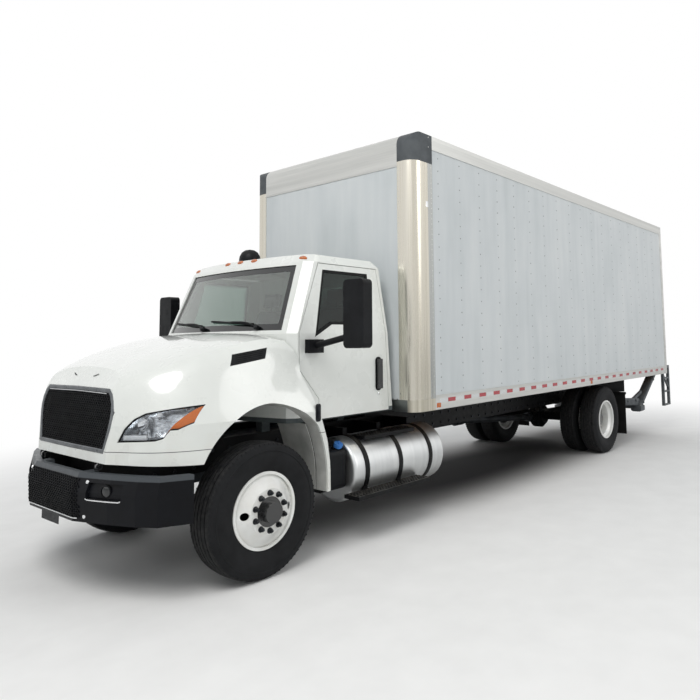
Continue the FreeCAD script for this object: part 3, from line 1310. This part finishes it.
def wheel_liners():
    """The liners that tilt with the hood, each inside its fender."""
    liner = liner_ring().cut(under_cab())
    return together(pair(max(liner.Solids, key=lambda piece: piece.Volume)))


def splash_shields():
    """The fixed shields behind the front wheels, each on an arm from its rail."""
    low = block((HOOD_TAIL_X, SHIELD_FRONT_X), (0, CAB_BELT_HALF), (0, SHIELD_TOP_Z))
    shield = liner_ring().common(low)
    arm_z = (SHIELD_ARM_Z, SHIELD_ARM_Z + SHIELD_ARM)
    back = ARCH_X + ARCH_RADIUS * ARCH_OUTLINE_SHARES[0][0] - LINER_METAL
    arm = block((back - SHIELD_ARM, back), (RAIL_OUTER_Y + SEAT_GAP, LINER_INNER_Y + SHIELD_ARM), arm_z)
    plate = block((back, back + LINER_METAL), (LINER_INNER_Y, LINER_INNER_Y + SHIELD_ARM), arm_z)
    return together(pair(joined([shield, arm, plate])))


def bumper_form(inset):
    """The bumper's outer face as a solid reaching back, drawn in by inset."""
    wires = []
    for z, backset in ((BUMPER_FOOT_Z, BUMPER_FOOT_BACKSET), (BUMPER_WAIST_Z, 0),
                       (BUMPER_TOP_Z, BUMPER_TOP_BACKSET)):
        front = FRONT_OVERHANG - backset - inset
        end = FRONT_OVERHANG - BUMPER_TOP_BACKSET - BUMPER_END_BACK - inset
        places = [(front - back * (front - end), share * (BUMPER_HALF - inset)) for back,
                  share in BUMPER_PLAN_SHARES]
        left = [point(x, y, z) for x, y in places]
        right = [point(x, -y, z) for x, y in reversed(places)]
        wires.append(outline(right + left))
    return Part.makeLoft(wires, True, True)


def front_bumper():
    """The wrap-round bumper: a curved wall with lamp recesses, brackets to the rails and a drop plate."""
    wall = bumper_form(0).cut(bumper_form(BUMPER_WALL))
    half = FOG_RECESS_WIDTH / 2
    recess = block((0, FRONT_OVERHANG), (FOG_RECESS_Y - half, FOG_RECESS_Y + half),
                   (FOG_RECESS_Z - FOG_RECESS_HEIGHT / 2, FOG_RECESS_Z + FOG_RECESS_HEIGHT / 2))
    recess = recess.cut(bumper_form(FOG_RECESS_DEPTH))
    for cut in pair(recess):
        wall = wall.cut(cut)
    middle_z = BUMPER_WAIST_Z + BUMPER_BRACKET_HEIGHT / 2
    bracket = block((RAIL_FRONT_X + SEAT_GAP, FRONT_OVERHANG), (RAIL_OUTER_Y - RAIL_FLANGE, RAIL_OUTER_Y),
                    (middle_z - BUMPER_BRACKET_HEIGHT / 2, middle_z + BUMPER_BRACKET_HEIGHT / 2))
    bracket = bracket.common(bumper_form(BUMPER_WALL / 2))
    face = FRONT_OVERHANG - BUMPER_FOOT_BACKSET
    plate = block((face - PLATE_METAL, face), (-PLATE_WIDTH / 2, PLATE_WIDTH / 2),
                  (BUMPER_FOOT_Z - PLATE_DROP, BUMPER_FOOT_Z + PLATE_HEIGHT - PLATE_DROP))
    whole = joined([wall, plate] + pair(bracket))
    for side in (-1, 1):
        start = point(face - BUMPER_WALL, side * PLATE_HOLE_SPACING / 2, plate_hole_z())
        whole = whole.cut(rod(PLATE_HOLE_RADIUS, start, start + X_AXIS * BUMPER_WALL * 2))
    return whole


def plate_hole_z():
    return BUMPER_FOOT_Z - PLATE_DROP / 2


def fuel_tank():
    """The left tank: a round drum with dished heads."""
    start = point(TANK_FRONT_X - TANK_LENGTH, TANK_Y, TANK_Z)
    drum = rod(TANK_RADIUS, start, start + X_AXIS * TANK_LENGTH)
    return drum.makeFillet(TANK_HEAD_ROUND, [e for e in drum.Edges if e.isClosed()])


def tank_steps():
    """The tank's straps with their brackets to the rail, and the two step treads that they carry."""
    pieces = []
    near, far = TANK_RADIUS + SEAT_GAP, TANK_RADIUS + SEAT_GAP + STRAP_METAL
    for share in STRAP_PLACE_SHARES:
        x = TANK_FRONT_X - share * TANK_LENGTH
        low, high = point(x - STRAP_WIDTH / 2, TANK_Y, TANK_Z), point(x + STRAP_WIDTH / 2, TANK_Y, TANK_Z)
        hold = block((low.x, high.x), (RAIL_OUTER_Y + SEAT_GAP, TANK_Y),
                     (FRAME_FOOT_Z, FRAME_FOOT_Z + STRAP_BRACKET_HEIGHT))
        pieces.append(joined([rod(far, low, high), hold]))
        if x > STEP_FRONT_X - STEP_LENGTH:
            pieces.append(block((low.x, high.x), (TANK_Y, LOW_STEP_Y),
                                (LOW_STEP_Z, LOW_STEP_Z + STEP_HANGER)))
            pieces.append(block((low.x, high.x), (HIGH_STEP_Y - STEP_HANGER, HIGH_STEP_Y),
                                (TANK_Z, HIGH_STEP_Z)))
    pieces.append(block((STEP_FRONT_X - STEP_LENGTH, STEP_FRONT_X),
                        (LOW_STEP_Y - STEP_HANGER, LOW_STEP_Y + STEP_WIDTH - STEP_HANGER),
                        (LOW_STEP_Z - STEP_METAL, LOW_STEP_Z)))
    pieces.append(block((STEP_FRONT_X - STEP_LENGTH, STEP_FRONT_X - STEP_LENGTH + HIGH_STEP_LENGTH),
                        (HIGH_STEP_Y - STEP_WIDTH / 2, HIGH_STEP_Y + STEP_WIDTH / 2),
                        (HIGH_STEP_Z, HIGH_STEP_Z + STEP_METAL)))
    room = rod(near, point(TANK_FRONT_X - 2 * TANK_LENGTH, TANK_Y, TANK_Z), point(0, TANK_Y, TANK_Z))
    return joined(pieces).cut(room)


def def_tank():
    """The exhaust-fluid tank ahead of the fuel tank, on a bracket to the rail, with its filler cap."""
    x = (FLUID_TANK_FRONT_X - FLUID_TANK_LENGTH, FLUID_TANK_FRONT_X)
    y = (FLUID_TANK_INNER_Y, FLUID_TANK_INNER_Y + FLUID_TANK_WIDTH)
    z = (FLUID_TANK_FOOT_Z, FLUID_TANK_FOOT_Z + FLUID_TANK_HEIGHT)
    body = block(x, y, z)
    body = body.makeFillet(FLUID_TANK_ROUND,
                           [e for e in body.Edges if abs(e.tangentAt(e.FirstParameter).x) > 0.5])
    arm = block((min(x) + FLUID_TANK_ROUND, max(x) - FLUID_TANK_ROUND),
                (RAIL_OUTER_Y + SEAT_GAP, FLUID_TANK_INNER_Y + FLUID_TANK_ROUND),
                (FRAME_FOOT_Z, FRAME_FOOT_Z + FLUID_BRACKET_HEIGHT))
    arm = arm.common(block(x, (0, BODY_HALF), (FRAME_FOOT_Z, max(z) - FLUID_TANK_ROUND / 2)))
    cap = point(sum(x) / 2, max(y) - 2 * FLUID_TANK_ROUND, max(z) - SEAT_GAP)
    return joined([body, arm, rod(FLUID_CAP_RADIUS, cap, cap + Z_AXIS * FLUID_CAP_HEIGHT)])


def exhaust():
    """The treatment can under the right door, hung from the rail, with its outlet pipe."""
    front = point(EXHAUST_FRONT_X, EXHAUST_Y, EXHAUST_Z)
    back = front - X_AXIS * EXHAUST_LENGTH
    can = rod(EXHAUST_RADIUS, back, front)
    can = can.makeFillet(EXHAUST_ROUND, [e for e in can.Edges if e.isClosed()])
    inward = point(0, EXHAUST_PIPE_OFFSET, 0)
    pipe = rod(EXHAUST_PIPE_RADIUS, front + inward, front + inward + X_AXIS * EXHAUST_PIPE_LENGTH)
    pipe_root = rod(EXHAUST_PIPE_RADIUS, front + inward - X_AXIS * EXHAUST_RADIUS, front + inward)
    pieces = [can, pipe, pipe_root]
    for share in STRAP_PLACE_SHARES[::2]:
        x = EXHAUST_FRONT_X - share * EXHAUST_LENGTH
        pieces.append(block((x - EXHAUST_BRACKET_WIDTH, x), (-RAIL_OUTER_Y - SEAT_GAP, EXHAUST_Y),
                            (FRAME_FOOT_Z, FRAME_FOOT_Z + EXHAUST_BRACKET_WIDTH)))
    return joined(pieces)


def battery_box():
    """The right-hand battery box on its brackets, with a step tread under the can and the door."""
    x = (BATTERY_FRONT_X - BATTERY_LENGTH, BATTERY_FRONT_X)
    y = (-BATTERY_INNER_Y, -BATTERY_INNER_Y - BATTERY_WIDTH)
    z = (BATTERY_FOOT_Z, BATTERY_FOOT_Z + BATTERY_HEIGHT)
    body = block(x, y, z)
    body = body.makeFillet(BATTERY_ROUND,
                           [e for e in body.Edges if abs(e.tangentAt(e.FirstParameter).x) > 0.5])
    arm = block((min(x) + BATTERY_ROUND, max(x) - BATTERY_ROUND),
                (-RAIL_OUTER_Y - SEAT_GAP, -BATTERY_INNER_Y - BATTERY_ROUND),
                (FRAME_FOOT_Z, max(z) - BATTERY_ROUND))
    step_y = (-BATTERY_INNER_Y - BATTERY_WIDTH + STEP_WIDTH / 2,
              -BATTERY_INNER_Y - BATTERY_WIDTH - STEP_WIDTH / 4)
    tread = block((max(x) - BATTERY_ROUND, RIGHT_STEP_FRONT_X), step_y,
                  (LOW_STEP_Z + STEP_METAL, LOW_STEP_Z + 2 * STEP_METAL))
    return joined([body, arm, tread])


def mud_flaps():
    """A flap behind each pair of twin wheels, hung from an arm off the rail."""
    x = REAR_AXLE_X - FLAP_SETBACK
    outer = OUTER_DUAL_Y + TYRE_WIDTH / 2
    flap = block((x - FLAP_METAL, x), (outer - FLAP_WIDTH, outer), (FLAP_FOOT_Z, FLAP_TOP_Z))
    arm = block((x - FLAP_METAL - FLAP_ARM, x - FLAP_METAL), (RAIL_OUTER_Y + SEAT_GAP, outer),
                (FLAP_TOP_Z - FLAP_ARM, FLAP_TOP_Z))
    return together(pair(joined([flap, arm])))


def body_block(inset, z):
    """The body's plan carried between two heights: square at the back, with round front corners."""
    low, high = min(z), max(z)
    front, half, back = BODY_FRONT_X - inset, BODY_HALF - inset, BODY_REAR_X
    turn = CORNER_RADIUS - inset
    middle = turn * (1 - math.sqrt(1 / 2))
    wire = outline([
        point(back, -half, low), point(front - turn, -half, low),
        (point(front - middle, middle - half, low), point(front, turn - half, low)),
        point(front, half - turn, low), (point(front - middle, half - middle, low),
                                         point(front - turn, half, low)),
        point(back, half, low)])
    return Part.Face(wire).extrude(point(0, 0, high - low))


def body_top(inset):
    """The top of the body, rounded over its front edge as well as at its corners."""
    low, high = BODY_TOP_Z - FRONT_RAIL_HEIGHT, BODY_TOP_Z - inset
    front, turn = BODY_FRONT_X - inset, CORNER_RADIUS - inset
    middle = turn * (1 - math.sqrt(1 / 2))
    wire = outline([
        point(BODY_REAR_X, -BODY_HALF, low), point(front, -BODY_HALF, low), point(front, -BODY_HALF,
                                                                                  high - turn),
        (point(front - middle, -BODY_HALF, high - middle), point(front - turn, -BODY_HALF, high)),
        point(BODY_REAR_X, -BODY_HALF, high)])
    side = Part.Face(wire).extrude(point(0, BODY_WIDTH, 0))
    return body_block(inset, (low, high)).common(side)


def corner_half():
    """How far from the middle the front corner posts and caps begin."""
    return BODY_HALF - CORNER_FRONT_FLANGE


def box_corner_posts():
    """The two round front corner posts, each with a flange along the side and one across the front."""
    z = (BODY_BASE_Z + FRONT_SILL_HEIGHT, BODY_TOP_Z - CAP_HEIGHT)
    layer = body_block(0, z).cut(body_block(BODY_WALL, z))
    region = block((PANEL_FRONT_X, BODY_FRONT_X), (corner_half(), BODY_HALF), z)
    return together(pair(layer.common(region)))


def box_corner_caps(top_layer):
    z = (BODY_TOP_Z - CAP_HEIGHT + SEAT_GAP, BODY_TOP_Z)
    region = block((PANEL_FRONT_X, BODY_FRONT_X), (corner_half() + SEAT_GAP, BODY_HALF), z)
    return together(pair(top_layer.common(region)))


def box_rails(top_layer):
    """The rails that frame the panels: both top rails, both base rails, the front header and the front
    sill."""
    half = corner_half()
    z = (BODY_TOP_Z - FRONT_RAIL_HEIGHT, BODY_TOP_Z)
    header = top_layer.common(block((PANEL_FRONT_X, BODY_FRONT_X), (-half, half), z))
    low = (BODY_BASE_Z, BODY_BASE_Z + FRONT_SILL_HEIGHT - SEAT_GAP)
    sill = body_block(0, low).cut(body_block(BODY_WALL, low))
    sill = sill.common(block((PANEL_FRONT_X, BODY_FRONT_X), (-BODY_HALF, BODY_HALF), low))
    x = (REAR_FRAME_X + SEAT_GAP, PANEL_FRONT_X)
    top = block((min(x), PANEL_FRONT_X - SEAT_GAP), (BODY_INNER_Y, BODY_HALF),
                (BODY_TOP_Z - TOP_RAIL_HEIGHT, BODY_TOP_Z))
    base = block(x, (BODY_INNER_Y, BODY_HALF), (BODY_BASE_Z, BODY_BASE_Z + BASE_RAIL_HEIGHT))
    return together([header, joined([sill] + pair(base))] + pair(top))


def box_sides():
    """The two flat side walls, a little inside the rails."""
    z = (BODY_BASE_Z + BASE_RAIL_HEIGHT + SEAT_GAP, BODY_TOP_Z - TOP_RAIL_HEIGHT - SEAT_GAP)
    x = (REAR_FRAME_X + SEAT_GAP, PANEL_FRONT_X - SEAT_GAP)
    return together(pair(block(x, (BODY_INNER_Y, BODY_HALF - PANEL_RECESS), z)))


def box_front():
    half = corner_half() - SEAT_GAP
    z = (BODY_BASE_Z + FRONT_SILL_HEIGHT, BODY_TOP_Z - FRONT_RAIL_HEIGHT - SEAT_GAP)
    return block((BODY_FRONT_X - BODY_WALL, BODY_FRONT_X - PANEL_RECESS), (-half, half), z)


def box_roof():
    """The roof sheet on its cross bows."""
    x = (REAR_FRAME_X + SEAT_GAP, PANEL_FRONT_X - SEAT_GAP)
    half = BODY_INNER_Y - SEAT_GAP
    top = BODY_TOP_Z - ROOF_SHEET
    pieces = [block(x, (-half, half), (top - ROOF_SHEET, top))]
    low = top - ROOF_SHEET - ROOF_BOW_HEIGHT
    count = math.floor((max(x) - min(x)) / ROOF_BOW_PITCH)
    for number in range(count):
        start = max(x) - (number + 1) * ROOF_BOW_PITCH
        pieces.append(block((start, start + ROOF_BOW_WIDTH), (-half, half), (low, top - ROOF_SHEET)))
    return joined(pieces)


def box_floor():
    """The cargo floor, from the front wall to the rear sill."""
    x = (REAR_FRAME_X + SEAT_GAP, BODY_FRONT_X - BODY_WALL - SEAT_GAP)
    half = BODY_INNER_Y - SEAT_GAP
    slab = block(x, (-half, half), (BODY_FLOOR_Z - BODY_FLOOR_METAL + SEAT_GAP, BODY_FLOOR_Z))
    corners = body_block(BODY_WALL + SEAT_GAP, (BODY_BASE_Z, BODY_TOP_Z))
    return slab.common(corners)


def body_crossmember(x, half):
    """One channel under the floor, across the body."""
    low, high = BODY_BASE_Z, BODY_BASE_Z + BODY_CROSSMEMBER_HEIGHT
    whole = block((x, x + BODY_CROSSMEMBER_WIDTH), (-half, half), (low, high))
    hollow = block((x + BODY_CROSSMEMBER_METAL, x + 2 * BODY_CROSSMEMBER_WIDTH), (-BODY_WIDTH, BODY_WIDTH),
                   (low + BODY_CROSSMEMBER_METAL, high - BODY_CROSSMEMBER_METAL))
    return whole.cut(hollow)


def box_subframe():
    """The two long sills that lie on the rails, and the channels across them under the floor."""
    half = BODY_INNER_Y - SEAT_GAP
    front, back = BODY_FRONT_X - BODY_WALL - SEAT_GAP, REAR_FRAME_X + SEAT_GAP
    sill = block((RAIL_REAR_X, front - CORNER_RADIUS),
                 (RAIL_MIDDLE_Y - SILL_WIDTH / 2, RAIL_MIDDLE_Y + SILL_WIDTH / 2),
                 (FRAME_TOP_Z + SEAT_GAP, BODY_BASE_Z))
    pieces = pair(sill)
    count = math.floor((front - back - CORNER_RADIUS) / BODY_CROSSMEMBER_PITCH) + 1
    for number in range(count):
        x = front - CORNER_RADIUS - BODY_CROSSMEMBER_WIDTH - number * BODY_CROSSMEMBER_PITCH
        pieces.append(body_crossmember(x, half))
    return joined(pieces)


def box_rear_frame():
    """The square portal at the rear: two posts, a deep header and the sill."""
    whole = block((BODY_REAR_X, REAR_FRAME_X), (-BODY_HALF, BODY_HALF), (BODY_BASE_Z, BODY_TOP_Z))
    inner = BODY_HALF - REAR_POST_WIDTH
    hole = block((BODY_REAR_X, REAR_FRAME_X), (-inner, inner),
                 (BODY_FLOOR_Z, BODY_TOP_Z - REAR_HEADER_HEIGHT))
    return whole.cut(hole)


def rollup_door():
    """The panels of the rear roll-up door, closed, one above the other."""
    half = BODY_HALF - REAR_POST_WIDTH - SEAT_GAP
    low, high = BODY_FLOOR_Z + SEAT_GAP, BODY_TOP_Z - REAR_HEADER_HEIGHT - SEAT_GAP
    pitch = (high - low + ROLL_DOOR_GAP) / ROLL_DOOR_PANELS
    x = REAR_FRAME_X - ROLL_DOOR_INSET
    panels = []
    for number in range(ROLL_DOOR_PANELS):
        foot = low + number * pitch
        panels.append(block((x - ROLL_DOOR_METAL, x), (-half, half), (foot, foot + pitch - ROLL_DOOR_GAP)))
    return together(panels)


def liftgate_frame():
    """The liftgate's crossbeam under the rails, with a pair of pinned lugs for each arm."""
    front = LIFT_PIVOT_X + LIFT_BEAM_AHEAD
    half = LIFT_BEAM_SIZE / 2
    beam_z = (LIFT_PIVOT_Z - half, FRAME_FOOT_Z - SEAT_GAP)
    pieces = [block((front - half, front + half), (-LIFT_BEAM_HALF, LIFT_BEAM_HALF), beam_z)]
    reach = LIFT_ARM_WIDTH / 2 + LIFT_SIDE_GAP
    for y in (LIFT_ARM_Y - reach - LIFT_LUG_METAL, LIFT_ARM_Y + reach):
        plate = block((LIFT_PIVOT_X, front - half), (y, y + LIFT_LUG_METAL),
                      (LIFT_PIVOT_Z - half, LIFT_PIVOT_Z + half - LIFT_SIDE_GAP))
        start = point(LIFT_PIVOT_X, y, LIFT_PIVOT_Z)
        pieces += pair(joined([plate, rod(half - LIFT_SIDE_GAP, start, start + Y_AXIS * LIFT_LUG_METAL)]))
    start = point(LIFT_PIVOT_X, LIFT_ARM_Y - reach - LIFT_LUG_METAL / 2, LIFT_PIVOT_Z)
    pieces += pair(rod(LIFT_PIN_RADIUS, start, start + Y_AXIS * (2 * reach + LIFT_LUG_METAL)))
    return joined(pieces)


def lift_arm_line():
    return point(LIFT_PIVOT_X, LIFT_ARM_Y, LIFT_PIVOT_Z), point(LIFT_KNEE_X, LIFT_ARM_Y, LIFT_KNEE_Z)


def liftgate_arms():
    """Both swing arms with their bored ends, tied by a torsion tube."""
    top, foot = lift_arm_line()
    along = foot - top
    reach = along.Length
    half = LIFT_ARM_WIDTH / 2
    bar = Part.makeBox(reach, LIFT_ARM_WIDTH, LIFT_ARM_HEIGHT, point(0, -half, -LIFT_ARM_HEIGHT / 2))
    tilt = math.degrees(math.atan2(-along.z, -along.x))
    bar.rotate(ORIGIN, Y_AXIS, 180 - tilt)
    bar.translate(top)
    ends = [rod(LIFT_ARM_HEIGHT / 2, end - Y_AXIS * half, end + Y_AXIS * half) for end in (top, foot)]
    middle = top + along * LIFT_TORSION_SHARE
    tie = rod(LIFT_TORSION_RADIUS, point(middle.x, -LIFT_ARM_Y, middle.z), middle)
    whole = joined(pair(joined([bar] + ends)) + [tie])
    for end in (top, foot):
        for hole in pair(rod(LIFT_PIN_RADIUS + SEAT_GAP, end - Y_AXIS * LIFT_ARM_WIDTH,
                             end + Y_AXIS * LIFT_ARM_WIDTH)):
            whole = whole.cut(hole)
    return whole


def liftgate_platform():
    """The platform's two leaves, folded together between the arms, on the pins at the knees."""
    half = PLATFORM_WIDTH / 2
    gap = PLATFORM_FOLD_GAP / 2
    back = LIFT_KNEE_X - LIFT_ARM_HEIGHT / 2
    pieces = []
    for low in (LIFT_KNEE_Z + gap, LIFT_KNEE_Z - gap - PLATFORM_METAL):
        pieces.append(block((back, back + PLATFORM_LENGTH), (-half, half), (low, low + PLATFORM_METAL)))
    hinge = block((back, back + PLATFORM_METAL), (-half, half), (LIFT_KNEE_Z - gap, LIFT_KNEE_Z + gap))
    foot = lift_arm_line()[1]
    pin = rod(LIFT_PIN_RADIUS, foot - Y_AXIS * (LIFT_ARM_Y - half + LIFT_PIN_RADIUS),
              foot + Y_AXIS * LIFT_ARM_WIDTH / 2)
    return joined(pieces + [hinge] + pair(pin))


def rear_step_brackets():
    """The step frames that stand behind the rear posts, with rungs between their uprights."""
    front, back = BODY_REAR_X - SEAT_GAP, REAR_END_X
    half = REAR_BRACKET_METAL / 2
    y = (REAR_BRACKET_Y - half, REAR_BRACKET_Y + half)
    rung = REAR_STEP_RUNG
    pieces = [block((back, back + REAR_BRACKET_METAL), y, (REAR_BRACKET_FOOT_Z, REAR_BRACKET_TOP_Z)),
              block((back, front), y, (REAR_BRACKET_TOP_Z - REAR_BRACKET_METAL, REAR_BRACKET_TOP_Z)),
              block((front - REAR_BRACKET_METAL, front), y, (REAR_BRACKET_FOOT_Z, REAR_BRACKET_TOP_Z))]
    steps = (REAR_BRACKET_TOP_Z - REAR_BRACKET_FOOT_Z) / REAR_STEP_WIDTH
    for number in range(math.floor(steps)):
        low = REAR_BRACKET_FOOT_Z + number * REAR_STEP_WIDTH
        pieces.append(block((back, front), y, (low, low + rung)))
    return together(pair(joined(pieces)))


def roof_markers():
    """The five amber lamps along the front edge of the cab's roof."""
    shell = cab_form(-SEAT_GAP)
    lamps = []
    places = [-MARKER_END_Y, -MARKER_CLUSTER_PITCH, 0, MARKER_CLUSTER_PITCH, MARKER_END_Y]
    for y in places:
        bow = CAB_BROW_BOW * (1 - (y / CAB_EAVE_HALF) ** 2)
        front = CAB_BROW_X + bow
        solid = block((front - MARKER_LENGTH, front), (y - MARKER_WIDTH / 2, y + MARKER_WIDTH / 2),
                      (CAB_EAVE_Z, ROOF_SHOULDER_Z + MARKER_HEIGHT / 2))
        piece = solid.cut(shell)
        lamps.append(max(piece.Solids, key=lambda part: part.CenterOfMass.z))
    return lamps


def side_markers():
    """The small lamps on both base rails."""
    lamps = []
    middle = BODY_BASE_Z + BASE_RAIL_HEIGHT / 2
    for share in SIDE_MARKER_SHARES:
        x = BODY_FRONT_X - CORNER_RADIUS - share * BODY_LENGTH
        lamp = block((x - SIDE_MARKER_SIZE, x), (BODY_HALF + SEAT_GAP, BODY_HALF + SIDE_MARKER_METAL),
                     (middle - SIDE_MARKER_SIZE / 4, middle + SIDE_MARKER_SIZE / 4))
        lamps += pair(lamp)
    return lamps


def tail_lamps():
    """The round stop and turn lamps in the rear sill."""
    lamps = []
    middle = (BODY_BASE_Z + BODY_FLOOR_Z) / 2
    start_x = BODY_REAR_X - SEAT_GAP
    for number in (1, 2):
        y = BODY_HALF - REAR_POST_WIDTH - REAR_BRACKET_METAL - number * TAIL_LAMP_SIZE
        start = point(start_x, y, middle)
        lamps += pair(rod(TAIL_LAMP_SIZE / 2 - TAIL_LAMP_METAL / 4, start,
                          start - X_AXIS * TAIL_LAMP_METAL))
    return together(lamps)


def write(name, shape):
    """Moves a piece so that the origin lies under the truck's middle, and writes its file."""
    moved = shape.copy()
    moved.translate(point(-TRUCK_MIDDLE_X, 0, 0))
    moved.exportStep("parts/" + name + ".step")


os.makedirs("parts", exist_ok=True)
SKIN = cab_skin(0, CAB_WALL)
TOP_LAYER = body_top(0).cut(body_top(BODY_WALL))
DASH = dashboard()
NODES = {
    "frame": frame(), "leaf_springs": leaf_springs(), "front_axle": front_axle(),
    "rear_axle": rear_axle(), "driveshaft": driveshaft(), "engine": engine(),
    "radiator": radiator(), "front_bumper": front_bumper(), "fuel_tank": fuel_tank(),
    "tank_steps": tank_steps(), "fluid_tank": def_tank(), "exhaust": exhaust(),
    "battery_box": battery_box(), "mud_flaps": mud_flaps(), "cab_floor": cab_floor(),
    "cab_front": cab_cowl(SKIN), "cab_sides": cab_sides(SKIN), "cab_back": cab_back(SKIN),
    "cab_roof": cab_roof(SKIN), "cab_glass": cab_glass(),
    "dashboard": joined([DASH, steering_wheel(DASH)]), "splash_shields": splash_shields(),
    "seats": together([seat(1), seat(-1)]),
    "marker_lamps": together(roof_markers() + side_markers()), "tail_lamps": tail_lamps(),
    "box_floor": box_floor(), "box_subframe": box_subframe(), "box_sides": box_sides(),
    "box_front": box_front(), "box_roof": box_roof(), "box_corner_posts": box_corner_posts(),
    "box_rails": box_rails(TOP_LAYER), "box_corner_caps": box_corner_caps(TOP_LAYER),
    "box_rear_frame": box_rear_frame(), "rollup_door": rollup_door(),
    "liftgate_frame": liftgate_frame(), "rear_step_brackets": rear_step_brackets(), "hood": hood(),
    "wheel_liners": wheel_liners(), "grilles": grilles(), "headlamps": headlamps(),
    "tie_rod": tie_rod(), "liftgate_arms": liftgate_arms(),
    "liftgate_platform": liftgate_platform(),
}
for word, side in (("left", 1), ("right", -1)):
    NODES["door_" + word] = door(SKIN, side)
    NODES["door_" + word + "_glass"] = door_glass(side)
    NODES["mirror_" + word] = mirror(side)
    NODES["knuckle_" + word] = on_side(knuckle(), side)
    NODES["tyre_front_" + word] = on_side(tyre(0, FRONT_WHEEL_Y), side)
    NODES["wheel_front_" + word] = on_side(together([disc_wheel(0, FRONT_WHEEL_Y, 1), front_hub()]), side)
    inner_y = OUTER_DUAL_Y - DUAL_SPACING
    tyres = [tyre(REAR_AXLE_X, OUTER_DUAL_Y), tyre(REAR_AXLE_X, inner_y)]
    NODES["tyres_rear_" + word] = on_side(together(tyres), side)
    rims = [disc_wheel(REAR_AXLE_X, OUTER_DUAL_Y, -1), disc_wheel(REAR_AXLE_X, inner_y, 1), rear_hub()]
    NODES["wheels_rear_" + word] = on_side(together(rims), side)
for name, shape in NODES.items():
    write(name, shape)
